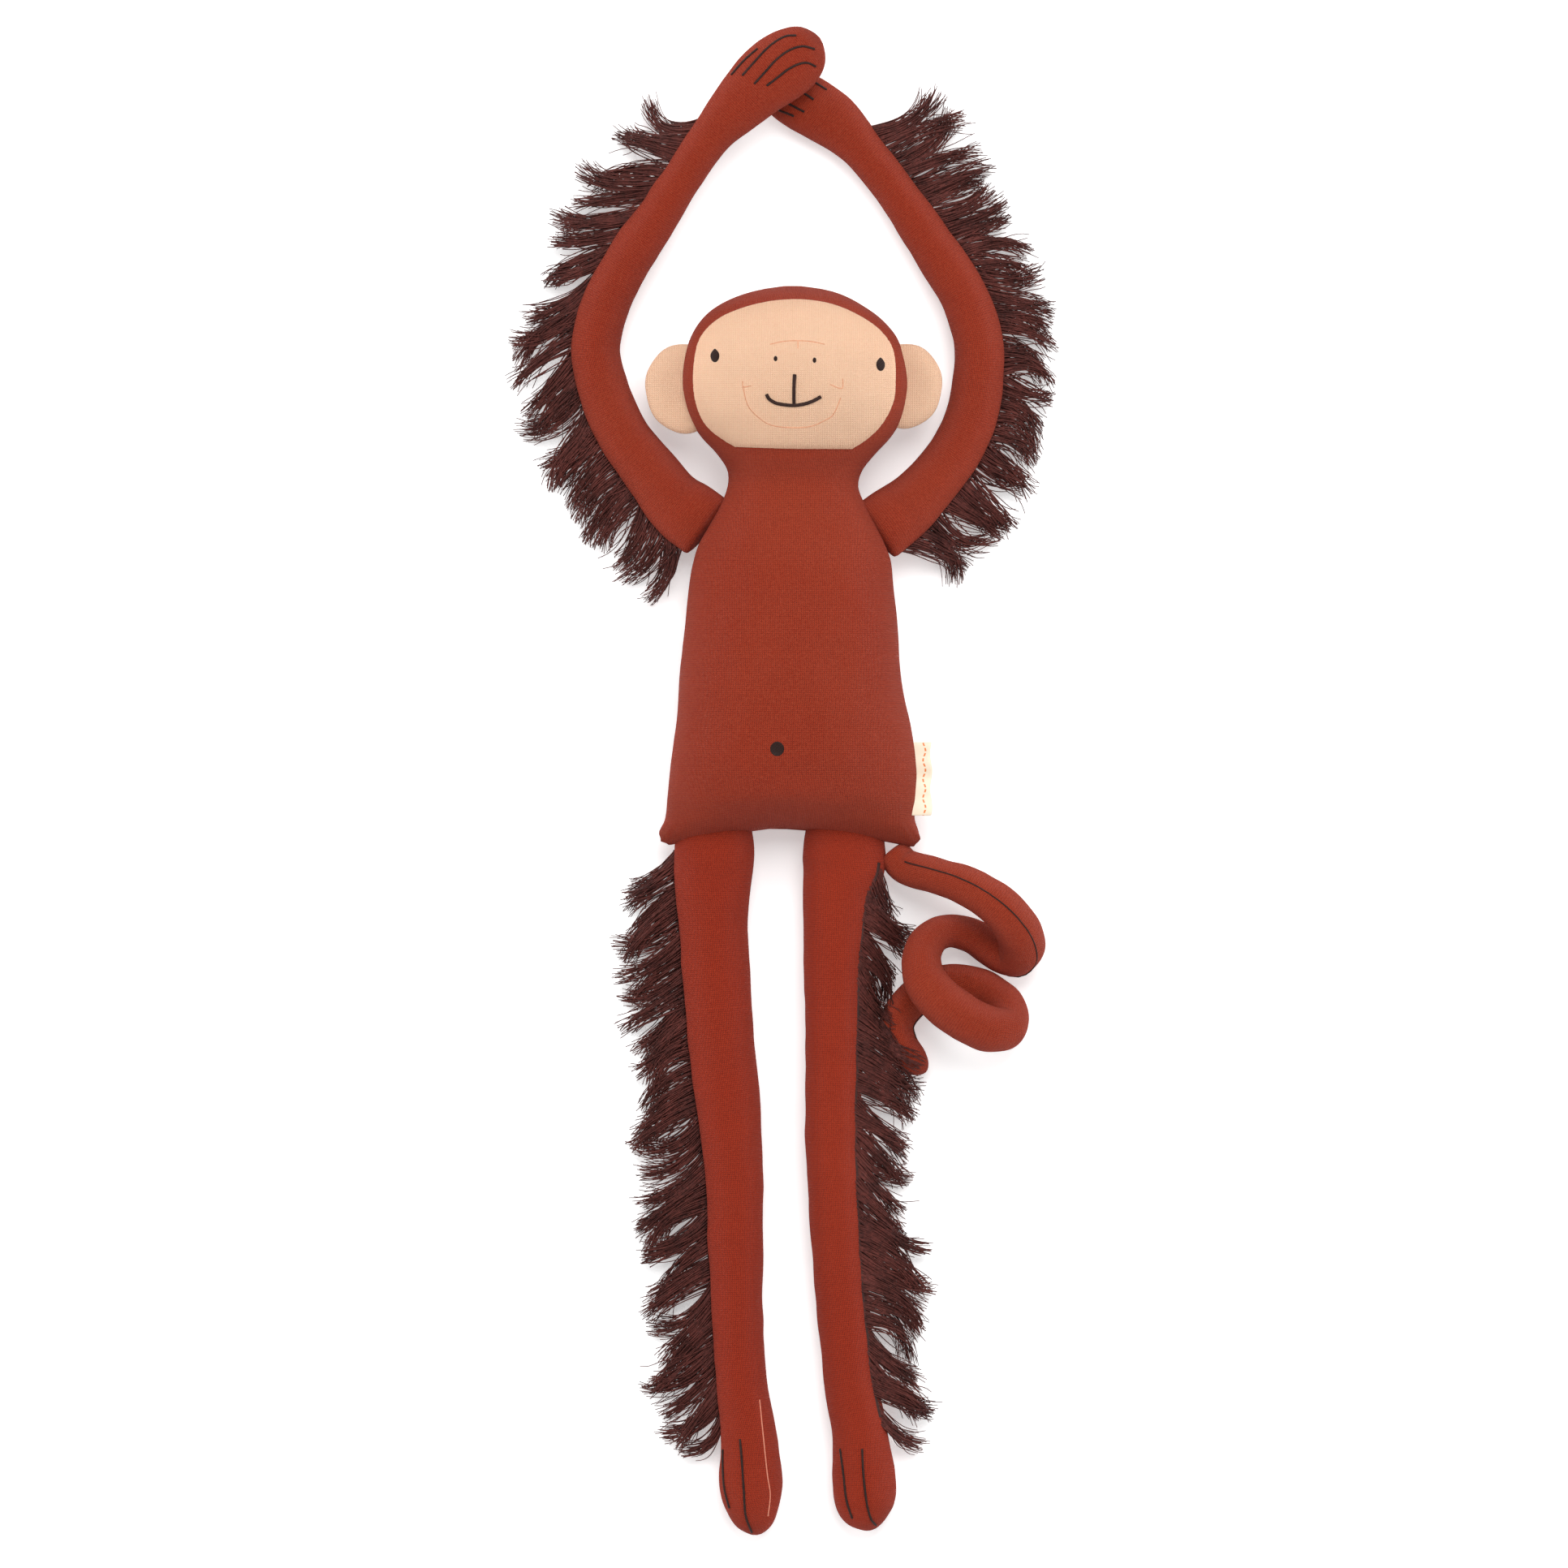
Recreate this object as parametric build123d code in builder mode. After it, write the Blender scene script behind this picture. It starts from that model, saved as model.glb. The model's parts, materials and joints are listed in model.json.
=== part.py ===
from build123d import *
import os

# A stuffed knitted monkey lying on its back. Millimetres, +Z up, +Y towards the head.
# The origin is on the flat of the torso's back, which is the face that the toy rests on.
# "right" and "left" are the toy's own sides, so its right arm is on the -X side.

# Driving dimensions
WALL = 1.2            # knitted cover
FIT = 0.15            # room between a cover and its filling
CLEAR = 0.6           # room between two pieces that turn against each other
HIP_CLEAR = 1.5       # room for a thigh to fold up to a right angle under the torso
TAIL_CLEAR = 1.2      # room for the tail to swing beside the torso
END_STEP = 0.05       # a round end is this much smaller than the section that it closes
SEAM_HEIGHT = 21.0    # side seam between the front and back panels, above the surface
STITCH = 0.9          # embroidered line
STITCH_RISE = 0.7     # how far embroidery stands off the knit
TAPE = 2.4            # woven heading of the fringe, from the limb's edge outwards
TAPE_GAP = 0.6        # from the limb to the near edge of the heading
TAPE_GAP_BEND = 1.2   # the same beside the right upper arm, which bends the most
TAPE_THICK = 1.2
FRINGE_THICK = 1.8
TAIL_R = 7.0
WIRE_R = 0.9
TALLEST = 60.0        # more than the toy's own height as it lies
TORSO_END = -57.0     # bottom seam of the torso, where the legs are sewn on

UP = (0, 0, 1)
ACROSS = (1, 0, 0)
TO_FEET = Vector(0, -1, 0)

# Oval sections: x, y, z of the centre, half width, half height
TORSO = [
    (0.2, 63.0, 15.7, 28.6, 16.5),
    (0.0, 50.0, 19.7, 36.0, 20.5),
    (0.0, 15.0, 23.2, 39.8, 24.0),
    (0.8, -25.0, 24.7, 44.8, 25.5),
    (0.2, -48.0, 19.4, 46.2, 20.0),
    (0.0, TORSO_END, 14.0, 44.5, 9.5),
]
NECK = (0.6, 77.0, 15.5, 23.8, 13.2)
HEAD = [
    NECK,
    (1.9, 87.0, 21.0, 29.9, 20.0),
    (1.6, 99.0, 25.4, 38.9, 25.9),
    (1.4, 111.0, 26.8, 41.5, 27.4),
    (1.3, 123.0, 26.2, 40.4, 26.7),
    (0.0, 135.0, 24.8, 34.8, 23.0),
    (-0.5, 142.0, 24.3, 26.0, 17.0),
    (0.5, 146.5, 24.0, 14.0, 9.5),
    (0.5, 148.4, 24.0, 4.0, 3.0),
]
SHOULDER_RIGHT = (-42.5, 67.0, 10.3, 11.5, 9.8)
ELBOW_RIGHT = (-72.0, 124.0, 9.7, 9.3, 9.2)
ARM_RIGHT_UPPER = [SHOULDER_RIGHT, (-55.5, 85.0, 10.0, 10.2, 9.6), (-65.4, 100.5, 9.9, 9.6, 9.4)]
ARM_RIGHT_LOWER = [
    ELBOW_RIGHT,
    (-69.0, 141.0, 11.0, 9.0, 8.8),
    (-57.6, 162.6, 13.8, 8.6, 8.4),
    (-44.0, 182.7, 17.0, 7.5, 7.4),
    (-28.5, 205.5, 20.5, 7.8, 7.0),
    (-17.0, 217.5, 22.2, 11.2, 6.7),
    (-3.0, 230.0, 22.8, 12.3, 6.6),
]
SHOULDER_LEFT = (42.0, 66.5, 10.3, 11.5, 9.8)
ELBOW_LEFT = (69.6, 123.0, 9.7, 9.3, 9.2)
ARM_LEFT_UPPER = [SHOULDER_LEFT, (56.0, 81.0, 10.0, 10.2, 9.6), (66.3, 99.0, 9.9, 9.6, 9.4)]
ARM_LEFT_LOWER = [
    ELBOW_LEFT,
    (67.7, 135.0, 9.5, 9.2, 9.0),
    (59.3, 153.0, 9.0, 8.9, 8.6),
    (47.3, 171.0, 8.4, 8.0, 8.0),
    (34.7, 189.0, 7.8, 7.4, 7.4),
    (24.9, 201.0, 7.5, 7.6, 7.1),
    (13.0, 213.0, 7.4, 10.8, 6.9),
    (0.0, 219.5, 7.3, 10.8, 6.8),
]
HIP_Y = TORSO_END - HIP_CLEAR - 10.3
HIP_RIGHT = (-28.8, HIP_Y, 10.6, 14.2, 10.3)
KNEE_RIGHT = (-21.2, -185.0, 10.2, 10.8, 9.8)
LEG_RIGHT_UPPER = [
    HIP_RIGHT,
    (-29.0, -87.0, 11.0, 12.9, 10.8),
    (-26.5, -123.0, 11.0, 12.5, 10.6),
    (-23.8, -150.0, 10.8, 11.9, 10.4),
]
LEG_RIGHT_LOWER = [
    KNEE_RIGHT,
    (-20.6, -207.0, 10.0, 10.4, 9.6),
    (-19.6, -240.0, 9.6, 9.6, 9.2),
    (-16.0, -275.0, 9.8, 10.0, 9.2),
    (-12.8, -300.8, 9.0, 11.3, 8.4),
]
HIP_LEFT = (19.4, HIP_Y, 10.6, 14.2, 10.3)
KNEE_LEFT = (16.5, -185.0, 10.2, 10.2, 9.8)
LEG_LEFT_UPPER = [
    HIP_LEFT,
    (16.5, -87.0, 11.0, 12.3, 10.8),
    (16.0, -123.0, 11.0, 11.2, 10.4),
    (15.5, -150.0, 10.6, 10.5, 10.0),
]
LEG_LEFT_LOWER = [
    KNEE_LEFT,
    (17.8, -207.0, 9.9, 10.0, 9.4),
    (20.2, -240.0, 9.5, 9.7, 9.1),
    (25.2, -275.0, 9.6, 10.5, 9.1),
    (28.8, -299.0, 9.0, 11.3, 8.3),
]


def keep(solid, label):
    """Name a finished piece and write it."""
    solid.part.label = label
    export_step(solid.part, f"parts/{label}.step")


def section_plane(stations, place, along):
    """Plane of one oval section, square to the limb or to the given direction."""
    before = stations[max(place - 1, 0)]
    after = stations[min(place + 1, len(stations) - 1)]
    way = along or Vector(after[0] - before[0], after[1] - before[1], 0)
    return Plane(origin=stations[place][:3], x_dir=way.cross(Vector(UP)), z_dir=way)


def ovals_to_solid(stations, grow, along=None):
    """Loft through oval sections."""
    with BuildPart() as solid:
        for place, station in enumerate(stations):
            with BuildSketch(section_plane(stations, place, along)):
                Ellipse(station[3] + grow, station[4] + grow)
        loft()
    return solid.part


def round_end(station, way, hinge, grow):
    """Half a spheroid about a hinge axis, behind a limb that leaves the hinge along way."""
    half_width, half_height = station[3] + grow - END_STEP, station[4] + grow - END_STEP
    along, radius = (half_height, half_width) if hinge == UP else (half_width, half_height)
    with BuildPart() as knob:
        with BuildSketch(Plane(origin=station[:3], x_dir=hinge, z_dir=way)):
            Ellipse(along, radius)
            Rectangle(2.2 * along, 1.1 * radius, align=(Align.CENTER, Align.MAX), mode=Mode.SUBTRACT)
        revolve(axis=Axis(station[:3], Vector(hinge) * -1), revolution_arc=180)
    return knob.part


def limb(stations, hinge, grow=0.0, tip=False):
    """A limb from its round hinge end to a flat joint face or, with a tip, to a hand or foot."""
    along = None if hinge == UP else TO_FEET
    with BuildPart() as solid:
        add(ovals_to_solid(stations, grow, along))
        add(round_end(stations[0], section_plane(stations, 0, along).z_dir, hinge, grow))
        if tip:
            last = len(stations) - 1
            add(round_end(stations[last], section_plane(stations, last, along).z_dir * -1, UP, grow))
    return solid.part


def torso(grow=0.0):
    """The torso, flat where it rests on the surface."""
    with BuildPart() as solid:
        add(ovals_to_solid(TORSO, grow, TO_FEET))
        split(bisect_by=Plane.XY.offset(-grow), keep=Keep.TOP)
    return solid.part


def head(grow=0.0):
    """The head with its round neck end, flat where it rests on the surface."""
    crown_x, crown_y, *crown = HEAD[-1]
    with BuildPart() as solid:
        add(ovals_to_solid(HEAD[:-1] + [(crown_x, crown_y + grow, *crown)], grow, TO_FEET * -1))
        add(round_end(NECK, TO_FEET * -1, ACROSS, grow))
        split(bisect_by=Plane.XY.offset(-grow), keep=Keep.TOP)
    return solid.part


def joint_face(upper, pivot, hinge):
    """Last section of an upper limb: flat, across the clearance from the next limb's round end."""
    x, y, z, half_width, half_height = pivot
    if hinge == UP:
        run = Vector(x - upper[-1][0], y - upper[-1][1], 0).normalized()
        back = run * (half_width + CLEAR)
        return (x - back.X, y - back.Y, z, half_width, half_height)
    return (x, y + half_height + CLEAR, z, half_width, half_height)


def surface_band(inner, outer, low, outlines):
    """What lies between two nested solids, above a height, inside sketched outlines."""
    with BuildPart() as band:
        add(outer)
        add(inner, mode=Mode.SUBTRACT)
        with BuildSketch(Plane.XY.offset(low)):
            add(outlines)
        extrude(amount=TALLEST, mode=Mode.INTERSECT)
    return band


def stitched_lines(lines):
    """Rows of hand stitching, each a curve through its points."""
    with BuildSketch() as rows:
        for points in lines:
            with BuildLine():
                Spline(*points)
            trace(line_width=STITCH)
    return rows.sketch


# Torso: front and back panels sewn at the side, filling, navel and side label
torso_outer = torso()
with BuildPart() as torso_front_cover:
    add(torso_outer)
    add(torso(-WALL), mode=Mode.SUBTRACT)
    split(bisect_by=Plane.XY.offset(SEAM_HEIGHT), keep=Keep.TOP)
keep(torso_front_cover, "torso_front_cover")

with BuildPart() as torso_back_cover:
    add(torso_outer)
    add(torso(-WALL), mode=Mode.SUBTRACT)
    split(bisect_by=Plane.XY.offset(SEAM_HEIGHT), keep=Keep.BOTTOM)
keep(torso_back_cover, "torso_back_cover")

with BuildPart() as torso_filling:
    add(torso(-WALL - FIT))
keep(torso_filling, "torso_filling")

NAVEL = (-5.2, -22.0)
with BuildSketch() as navel_outline:
    with Locations(NAVEL):
        Circle(3.0)
navel = surface_band(torso(0.03), torso(STITCH_RISE), SEAM_HEIGHT, navel_outline.sketch)
keep(navel, "navel_embroidery")

LABEL_LENGTH = 27.0
with BuildPart() as side_label:
    with Locations((48.0, -33.0, SEAM_HEIGHT + 2.5)):
        Box(7.2, LABEL_LENGTH, 0.9)
    add(torso(0.1), mode=Mode.SUBTRACT)
keep(side_label, "side_label")

# Head: rust cover in two panels, an inset face panel, ears, filling and embroidery
head_outer = head()
head_raised = head(STITCH_RISE)
head_just_off = head(0.03)
FACE_SIDE = [
    (22.8, 88.0),
    (34.5, 98.0),
    (38.9, 112.0),
    (37.4, 126.6),
    (25.0, 138.0),
    (1.8, 143.8),
    (-23.0, 138.8),
    (-35.0, 128.0),
    (-36.8, 112.0),
    (-32.1, 97.0),
    (-21.0, 88.0),
]
FACE_MIDDLE = Vector(1.0, 114.0)
FACE_REACH = 39.0     # from the middle to the sides


def face_outline(room):
    """The face panel's edge: a curve over the brow from cheek to cheek, and a straight chin seam."""
    share = 1 - room / FACE_REACH
    side = [FACE_MIDDLE + (Vector(*point) - FACE_MIDDLE) * share for point in FACE_SIDE]
    with BuildSketch() as outline:
        with BuildLine():
            Spline(*side)
            Line(side[-1], side[0])
        make_face()
    return outline.sketch


face_opening = face_outline(0.0)
with BuildPart() as head_front_cover:
    add(head_outer)
    add(head(-WALL), mode=Mode.SUBTRACT)
    split(bisect_by=Plane.XY.offset(SEAM_HEIGHT), keep=Keep.TOP)
    with BuildSketch(Plane.XY.offset(SEAM_HEIGHT - 1)):
        add(face_opening)
    extrude(amount=60.0, mode=Mode.SUBTRACT)
keep(head_front_cover, "head_front_cover")

with BuildPart() as head_back_cover:
    add(head_outer)
    add(head(-WALL), mode=Mode.SUBTRACT)
    split(bisect_by=Plane.XY.offset(SEAM_HEIGHT), keep=Keep.BOTTOM)
keep(head_back_cover, "head_back_cover")

face_panel = surface_band(head(-WALL), head_outer, SEAM_HEIGHT, face_outline(FIT))
keep(face_panel, "face_panel")

with BuildPart() as head_filling:
    add(head(-WALL - FIT))
keep(head_filling, "head_filling")

EYES = {"eye_right": (-28.1, 122.5), "eye_left": (32.8, 119.4)}
for eye_name, centre in EYES.items():
    with BuildSketch() as eye_outline:
        with Locations(centre):
            Ellipse(1.8, 2.8)
    eye = surface_band(head_just_off, head_raised, SEAM_HEIGHT, eye_outline.sketch)
    keep(eye, eye_name)

with BuildSketch() as nostril_outlines:
    with Locations((-5.8, 121.3), (8.5, 120.8)):
        Ellipse(0.9, 1.3)
nostrils = surface_band(head_just_off, head_raised, SEAM_HEIGHT, nostril_outlines.sketch)
keep(nostrils, "nostrils")

SMILE = [(-9.0, 107.7), (-5.0, 105.0), (0.9, 104.1), (6.5, 104.8), (10.7, 107.0)]
LIP_LINE = [(1.1, 115.5), (0.8, 110.0), (0.9, 104.3)]
mouth = surface_band(head_just_off, head_raised, SEAM_HEIGHT, stitched_lines([SMILE, LIP_LINE]))
keep(mouth, "mouth_embroidery")

EAR_THICK = 7.6
EAR_HEIGHT = 23.0
EARS = {"ear_right": (-38.5, 111.0, 15.4, 16.6), "ear_left": (41.0, 111.8, 14.8, 15.8)}


def ear_pad(ear, grow):
    """A flat oval pad with a rounded rim."""
    x, y, half_width, half_length = ear
    with BuildPart() as pad:
        with BuildSketch(Plane.XY.offset(EAR_HEIGHT)):
            with Locations((x, y)):
                Ellipse(half_width + grow, half_length + grow)
        extrude(amount=EAR_THICK / 2 + grow, both=True)
        fillet(pad.edges(), radius=0.85 * (EAR_THICK / 2 + grow))
    return pad.part


for ear_name, ear in EARS.items():
    with BuildPart() as ear_cover:
        add(ear_pad(ear, 0.0))
        add(ear_pad(ear, -WALL), mode=Mode.SUBTRACT)
        add(head(0.2), mode=Mode.SUBTRACT)
    keep(ear_cover, f"{ear_name}_cover")
    with BuildPart() as ear_filling:
        add(ear_pad(ear, -WALL - FIT))
        add(head(0.2), mode=Mode.SUBTRACT)
    keep(ear_filling, f"{ear_name}_filling")

# Arms and legs: each has an upper and a lower length of cover and filling, hinged on each other,
# with a fringe sewn into the outer seam by its woven heading
FRINGE_TIPS_ARM_RIGHT_UPPER = [(-52.0, 32.0), (-67.0, 46.0), (-82.0, 63.0), (-92.0, 80.0), (-100.0, 104.0)]
FRINGE_TIPS_ARM_RIGHT_LOWER = [(-99.0, 138.0), (-91.0, 162.0), (-80.0, 182.0), (-65.0, 198.0), (-52.0, 209.0)]
FRINGE_TIPS_ARM_LEFT_UPPER = [(54.0, 42.0), (68.0, 45.0), (82.0, 59.0), (92.0, 78.0), (95.0, 99.0)]
FRINGE_TIPS_ARM_LEFT_LOWER = [(96.0, 135.0), (86.0, 162.0), (75.0, 183.0), (67.0, 203.0), (53.0, 220.0)]
FRINGE_TIPS_LEG_RIGHT_UPPER = [(-50.0, -63.0), (-61.0, -74.0), (-62.0, -100.0), (-58.0, -146.0)]
FRINGE_TIPS_LEG_RIGHT_LOWER = [(-55.0, -215.0), (-52.0, -245.0), (-46.0, -272.0), (-38.0, -284.0)]
FRINGE_TIPS_LEG_LEFT_UPPER = [(33.5, -78.0), (38.0, -84.0), (39.5, -110.0), (42.0, -146.0)]
FRINGE_TIPS_LEG_LEFT_LOWER = [(48.0, -215.0), (49.0, -245.0), (50.0, -270.0), (47.0, -281.0)]
ELBOW_TIP_RIGHT = (-101.0, 121.0)
ELBOW_TIP_LEFT = (97.0, 117.0)
KNEE_TIP_RIGHT = (-57.0, -185.0)
KNEE_TIP_LEFT = (43.0, -185.0)

FINGERS_RIGHT = [
    [(-19.5, 223.5), (-16.0, 230.0), (-11.5, 235.5)],
    [(-16.0, 223.8), (-9.6, 233.0), (-3.0, 237.5)],
    [(-12.5, 221.5), (-5.6, 229.5), (3.5, 233.5)],
    [(-9.0, 219.5), (-1.0, 226.0), (6.0, 228.0)],
]
FINGERS_LEFT = [
    [(8.6, 224.0), (12.0, 221.6)],
    [(4.0, 220.4), (8.2, 217.7)],
    [(-1.7, 216.5), (4.8, 213.1)],
    [(-5.5, 214.2), (1.0, 211.6)],
]
TOES_RIGHT = [
    [(-20.8, -280.0), (-20.8, -290.0), (-19.6, -302.0)],
    [(-17.3, -277.0), (-16.8, -292.0), (-14.6, -308.0)],
]
TOES_LEFT = [
    [(19.8, -280.0), (21.2, -290.0), (22.9, -303.0)],
    [(26.1, -280.0), (26.9, -292.0), (29.8, -306.0)],
]

ARM_RIGHT = {
    "name": "arm_right", "hinge": UP, "upper": ARM_RIGHT_UPPER, "lower": ARM_RIGHT_LOWER,
    "tips_upper": FRINGE_TIPS_ARM_RIGHT_UPPER + [ELBOW_TIP_RIGHT],
    "tips_lower": [ELBOW_TIP_RIGHT] + FRINGE_TIPS_ARM_RIGHT_LOWER,
    "fringe_z_upper": 10.0, "fringe_z_lower": 13.0, "spine_end": 4, "stitching": FINGERS_RIGHT,
    "stitching_name": "finger_stitching",
}
ARM_LEFT = {
    "name": "arm_left", "hinge": UP, "upper": ARM_LEFT_UPPER, "lower": ARM_LEFT_LOWER,
    "tips_upper": FRINGE_TIPS_ARM_LEFT_UPPER + [ELBOW_TIP_LEFT],
    "tips_lower": [ELBOW_TIP_LEFT] + FRINGE_TIPS_ARM_LEFT_LOWER,
    "fringe_z_upper": 10.0, "fringe_z_lower": 9.0, "spine_end": 5, "stitching": FINGERS_LEFT,
    "stitching_name": "finger_stitching",
}
LEG_RIGHT = {
    "name": "leg_right", "hinge": ACROSS, "upper": LEG_RIGHT_UPPER, "lower": LEG_RIGHT_LOWER,
    "tips_upper": FRINGE_TIPS_LEG_RIGHT_UPPER + [KNEE_TIP_RIGHT],
    "tips_lower": [KNEE_TIP_RIGHT] + FRINGE_TIPS_LEG_RIGHT_LOWER,
    "fringe_z_upper": 10.0, "fringe_z_lower": 9.5, "spine_end": 3, "stitching": TOES_RIGHT,
    "stitching_name": "toe_stitching",
}
LEG_LEFT = {
    "name": "leg_left", "hinge": ACROSS, "upper": LEG_LEFT_UPPER, "lower": LEG_LEFT_LOWER,
    "tips_upper": FRINGE_TIPS_LEG_LEFT_UPPER + [KNEE_TIP_LEFT],
    "tips_lower": [KNEE_TIP_LEFT] + FRINGE_TIPS_LEG_LEFT_LOWER,
    "fringe_z_upper": 16.5, "fringe_z_lower": 14.0, "spine_end": 3, "stitching": TOES_LEFT,
    "stitching_name": "toe_stitching",
}


def fringe_layer(whole, thin, inner_gap, outer_gap, tips, spine, height):
    """A flat layer beside a limb, between two distances from its surface, out to the thread tips."""
    stations, hinge = whole
    with BuildPart() as layer:
        with BuildSketch(Plane.XY.offset(height - thin / 2)):
            with BuildLine():
                Polyline(*tips, *reversed(spine), close=True)
            make_face()
            offset(amount=-0.3)
        extrude(amount=thin)
        if outer_gap:
            add(limb(stations, hinge, outer_gap), mode=Mode.INTERSECT)
        add(limb(stations, hinge, inner_gap), mode=Mode.SUBTRACT)
    return layer


for part in (ARM_RIGHT, ARM_LEFT, LEG_RIGHT, LEG_LEFT):
    name, hinge, lower = part["name"], part["hinge"], part["lower"]
    upper = part["upper"] + [joint_face(part["upper"], lower[0], hinge)]
    whole = (part["upper"] + lower, hinge)
    for half, stations, tip in (("upper", upper, False), ("lower", lower, True)):
        with BuildPart() as cover:
            add(limb(stations, hinge, 0.0, tip))
            add(limb(stations, hinge, -WALL, tip), mode=Mode.SUBTRACT)
        keep(cover, f"{name}_{half}_cover")
        with BuildPart() as filling:
            add(limb(stations, hinge, -WALL - FIT, tip))
        keep(filling, f"{name}_{half}_filling")

        corners = part["upper"] + lower[:1] if half == "upper" else lower[:part["spine_end"] + 1]
        spine = [station[:2] for station in corners]
        tips, height = part[f"tips_{half}"], part[f"fringe_z_{half}"]
        gap = TAPE_GAP_BEND if (name, half) == ("arm_right", "upper") else TAPE_GAP
        tape = fringe_layer(whole, TAPE_THICK, gap, TAPE, tips, spine, height)
        keep(tape, f"{name}_{half}_fringe_tape")
        threads = fringe_layer(whole, FRINGE_THICK, TAPE + FIT, None, tips, spine, height)
        keep(threads, f"{name}_{half}_fringe")

    stitching = surface_band(
        limb(lower, hinge, 0.03, True), limb(lower, hinge, STITCH_RISE, True),
        lower[-1][2], stitched_lines(part["stitching"]),
    )
    keep(stitching, f"{name}_{part['stitching_name']}")

# Tail: a knitted tube, filled round a bendable wire that holds its coil
TAIL_ROUTE = [
    (43.0, TORSO_END - TAIL_CLEAR - TAIL_R, 13.0),
    (57.0, -69.0, 20.0),
    (72.0, -75.0, 25.0),
    (84.0, -83.0, 23.0),
    (89.0, -93.0, 16.0),
    (82.0, -99.0, 9.0),
    (70.0, -93.0, 7.3),
    (57.5, -90.0, 11.0),
    (49.0, -97.0, 19.0),
    (50.0, -109.0, 26.0),
    (60.0, -120.0, 29.0),
    (73.0, -128.0, 25.0),
    (82.5, -124.5, 16.0),
    (79.5, -113.5, 9.0),
    (67.0, -108.5, 7.3),
    (54.0, -111.0, 7.3),
    (43.0, -119.0, 7.3),
    (39.5, -130.0, 7.3),
    (46.5, -138.5, 7.3),
]
BEND_SHARE = 0.45     # of the shorter run beside a bend


def bend_radii(route):
    """The largest arc at each corner that its two runs leave room for."""
    radii = []
    for before, corner, after in zip(route, route[1:], route[2:]):
        first = Vector(corner) - Vector(before)
        second = Vector(after) - Vector(corner)
        room = BEND_SHARE * min(first.length, second.length)
        half_turn = first.get_angle(second) / 2
        radii.append(room / tan_degrees(half_turn))
    return radii


def tan_degrees(angle):
    """Tangent of an angle in degrees."""
    turned = Vector(1, 0, 0).rotate(Axis.Z, angle)
    return turned.Y / turned.X


TAIL_BENDS = bend_radii(TAIL_ROUTE)
print("tail bends", [round(radius, 1) for radius in TAIL_BENDS])


def tail_tube(radius):
    """A round bar along the tail's route."""
    with BuildPart() as bar:
        with BuildLine() as route:
            FilletPolyline(*TAIL_ROUTE, radius=TAIL_BENDS)
        start = Vector(TAIL_ROUTE[1]) - Vector(TAIL_ROUTE[0])
        with BuildSketch(Plane(origin=TAIL_ROUTE[0], z_dir=start)):
            Circle(radius)
        sweep(path=route.wire())
        with Locations(TAIL_ROUTE[0], TAIL_ROUTE[-1]):
            Sphere(radius)
    return bar.part


with BuildPart() as tail_cover:
    add(tail_tube(TAIL_R))
    add(tail_tube(TAIL_R - WALL), mode=Mode.SUBTRACT)
keep(tail_cover, "tail_cover")

with BuildPart() as tail_filling:
    add(tail_tube(TAIL_R - WALL - FIT))
    add(tail_tube(WIRE_R + 0.1), mode=Mode.SUBTRACT)
keep(tail_filling, "tail_filling")

with BuildPart() as tail_wire:
    add(tail_tube(WIRE_R))
keep(tail_wire, "tail_wire")
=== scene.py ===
import json
import math
import random

import bmesh
import bpy
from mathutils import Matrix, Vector, noise
from mathutils.bvhtree import BVHTree


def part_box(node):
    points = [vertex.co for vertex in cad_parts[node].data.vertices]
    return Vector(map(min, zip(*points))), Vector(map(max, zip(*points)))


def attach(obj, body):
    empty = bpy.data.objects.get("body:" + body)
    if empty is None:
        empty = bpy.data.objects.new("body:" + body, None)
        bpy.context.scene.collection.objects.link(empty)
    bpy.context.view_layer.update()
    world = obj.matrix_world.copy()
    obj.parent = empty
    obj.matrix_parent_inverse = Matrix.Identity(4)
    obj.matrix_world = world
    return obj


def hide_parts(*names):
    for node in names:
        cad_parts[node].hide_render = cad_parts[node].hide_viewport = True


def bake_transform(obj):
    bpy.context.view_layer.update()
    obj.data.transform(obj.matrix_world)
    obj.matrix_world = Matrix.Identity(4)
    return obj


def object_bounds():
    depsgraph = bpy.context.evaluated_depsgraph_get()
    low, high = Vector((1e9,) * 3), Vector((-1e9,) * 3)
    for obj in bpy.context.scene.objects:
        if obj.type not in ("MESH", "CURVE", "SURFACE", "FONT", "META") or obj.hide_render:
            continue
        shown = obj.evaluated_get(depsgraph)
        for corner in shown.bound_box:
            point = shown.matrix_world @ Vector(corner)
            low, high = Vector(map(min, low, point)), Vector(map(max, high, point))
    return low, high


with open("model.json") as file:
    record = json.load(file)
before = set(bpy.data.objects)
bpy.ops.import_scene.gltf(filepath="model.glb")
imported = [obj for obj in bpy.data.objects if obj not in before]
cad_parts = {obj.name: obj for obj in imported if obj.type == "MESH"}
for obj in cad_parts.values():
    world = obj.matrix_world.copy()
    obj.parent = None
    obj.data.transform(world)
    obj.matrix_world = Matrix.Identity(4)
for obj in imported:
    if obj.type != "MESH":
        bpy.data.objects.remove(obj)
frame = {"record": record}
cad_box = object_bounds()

# A knitted monkey lying on its back. Lengths here are in millimetres until MM makes them metres.
MM = 0.001
UP = Vector((0, 0, 1))
WALE = 0.95           # width of one column of stitches
COURSE = 0.78         # height of one row of stitches
KNIT_MAP = "Knit"
ON_FLOOR = 0.05       # the lowest that a soft surface comes
CAMERA_X = -0.0027    # the camera's and floor's lengths are in metres
CAMERA_DISTANCE = 8.0
FRAME_WIDTH = 0.5796
FLOOR_SIZE = 3.0
FLOOR_HEIGHT = -0.0006
FLOOR_GLOW = 0.34
ROOM_LIGHT = 0.63
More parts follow.
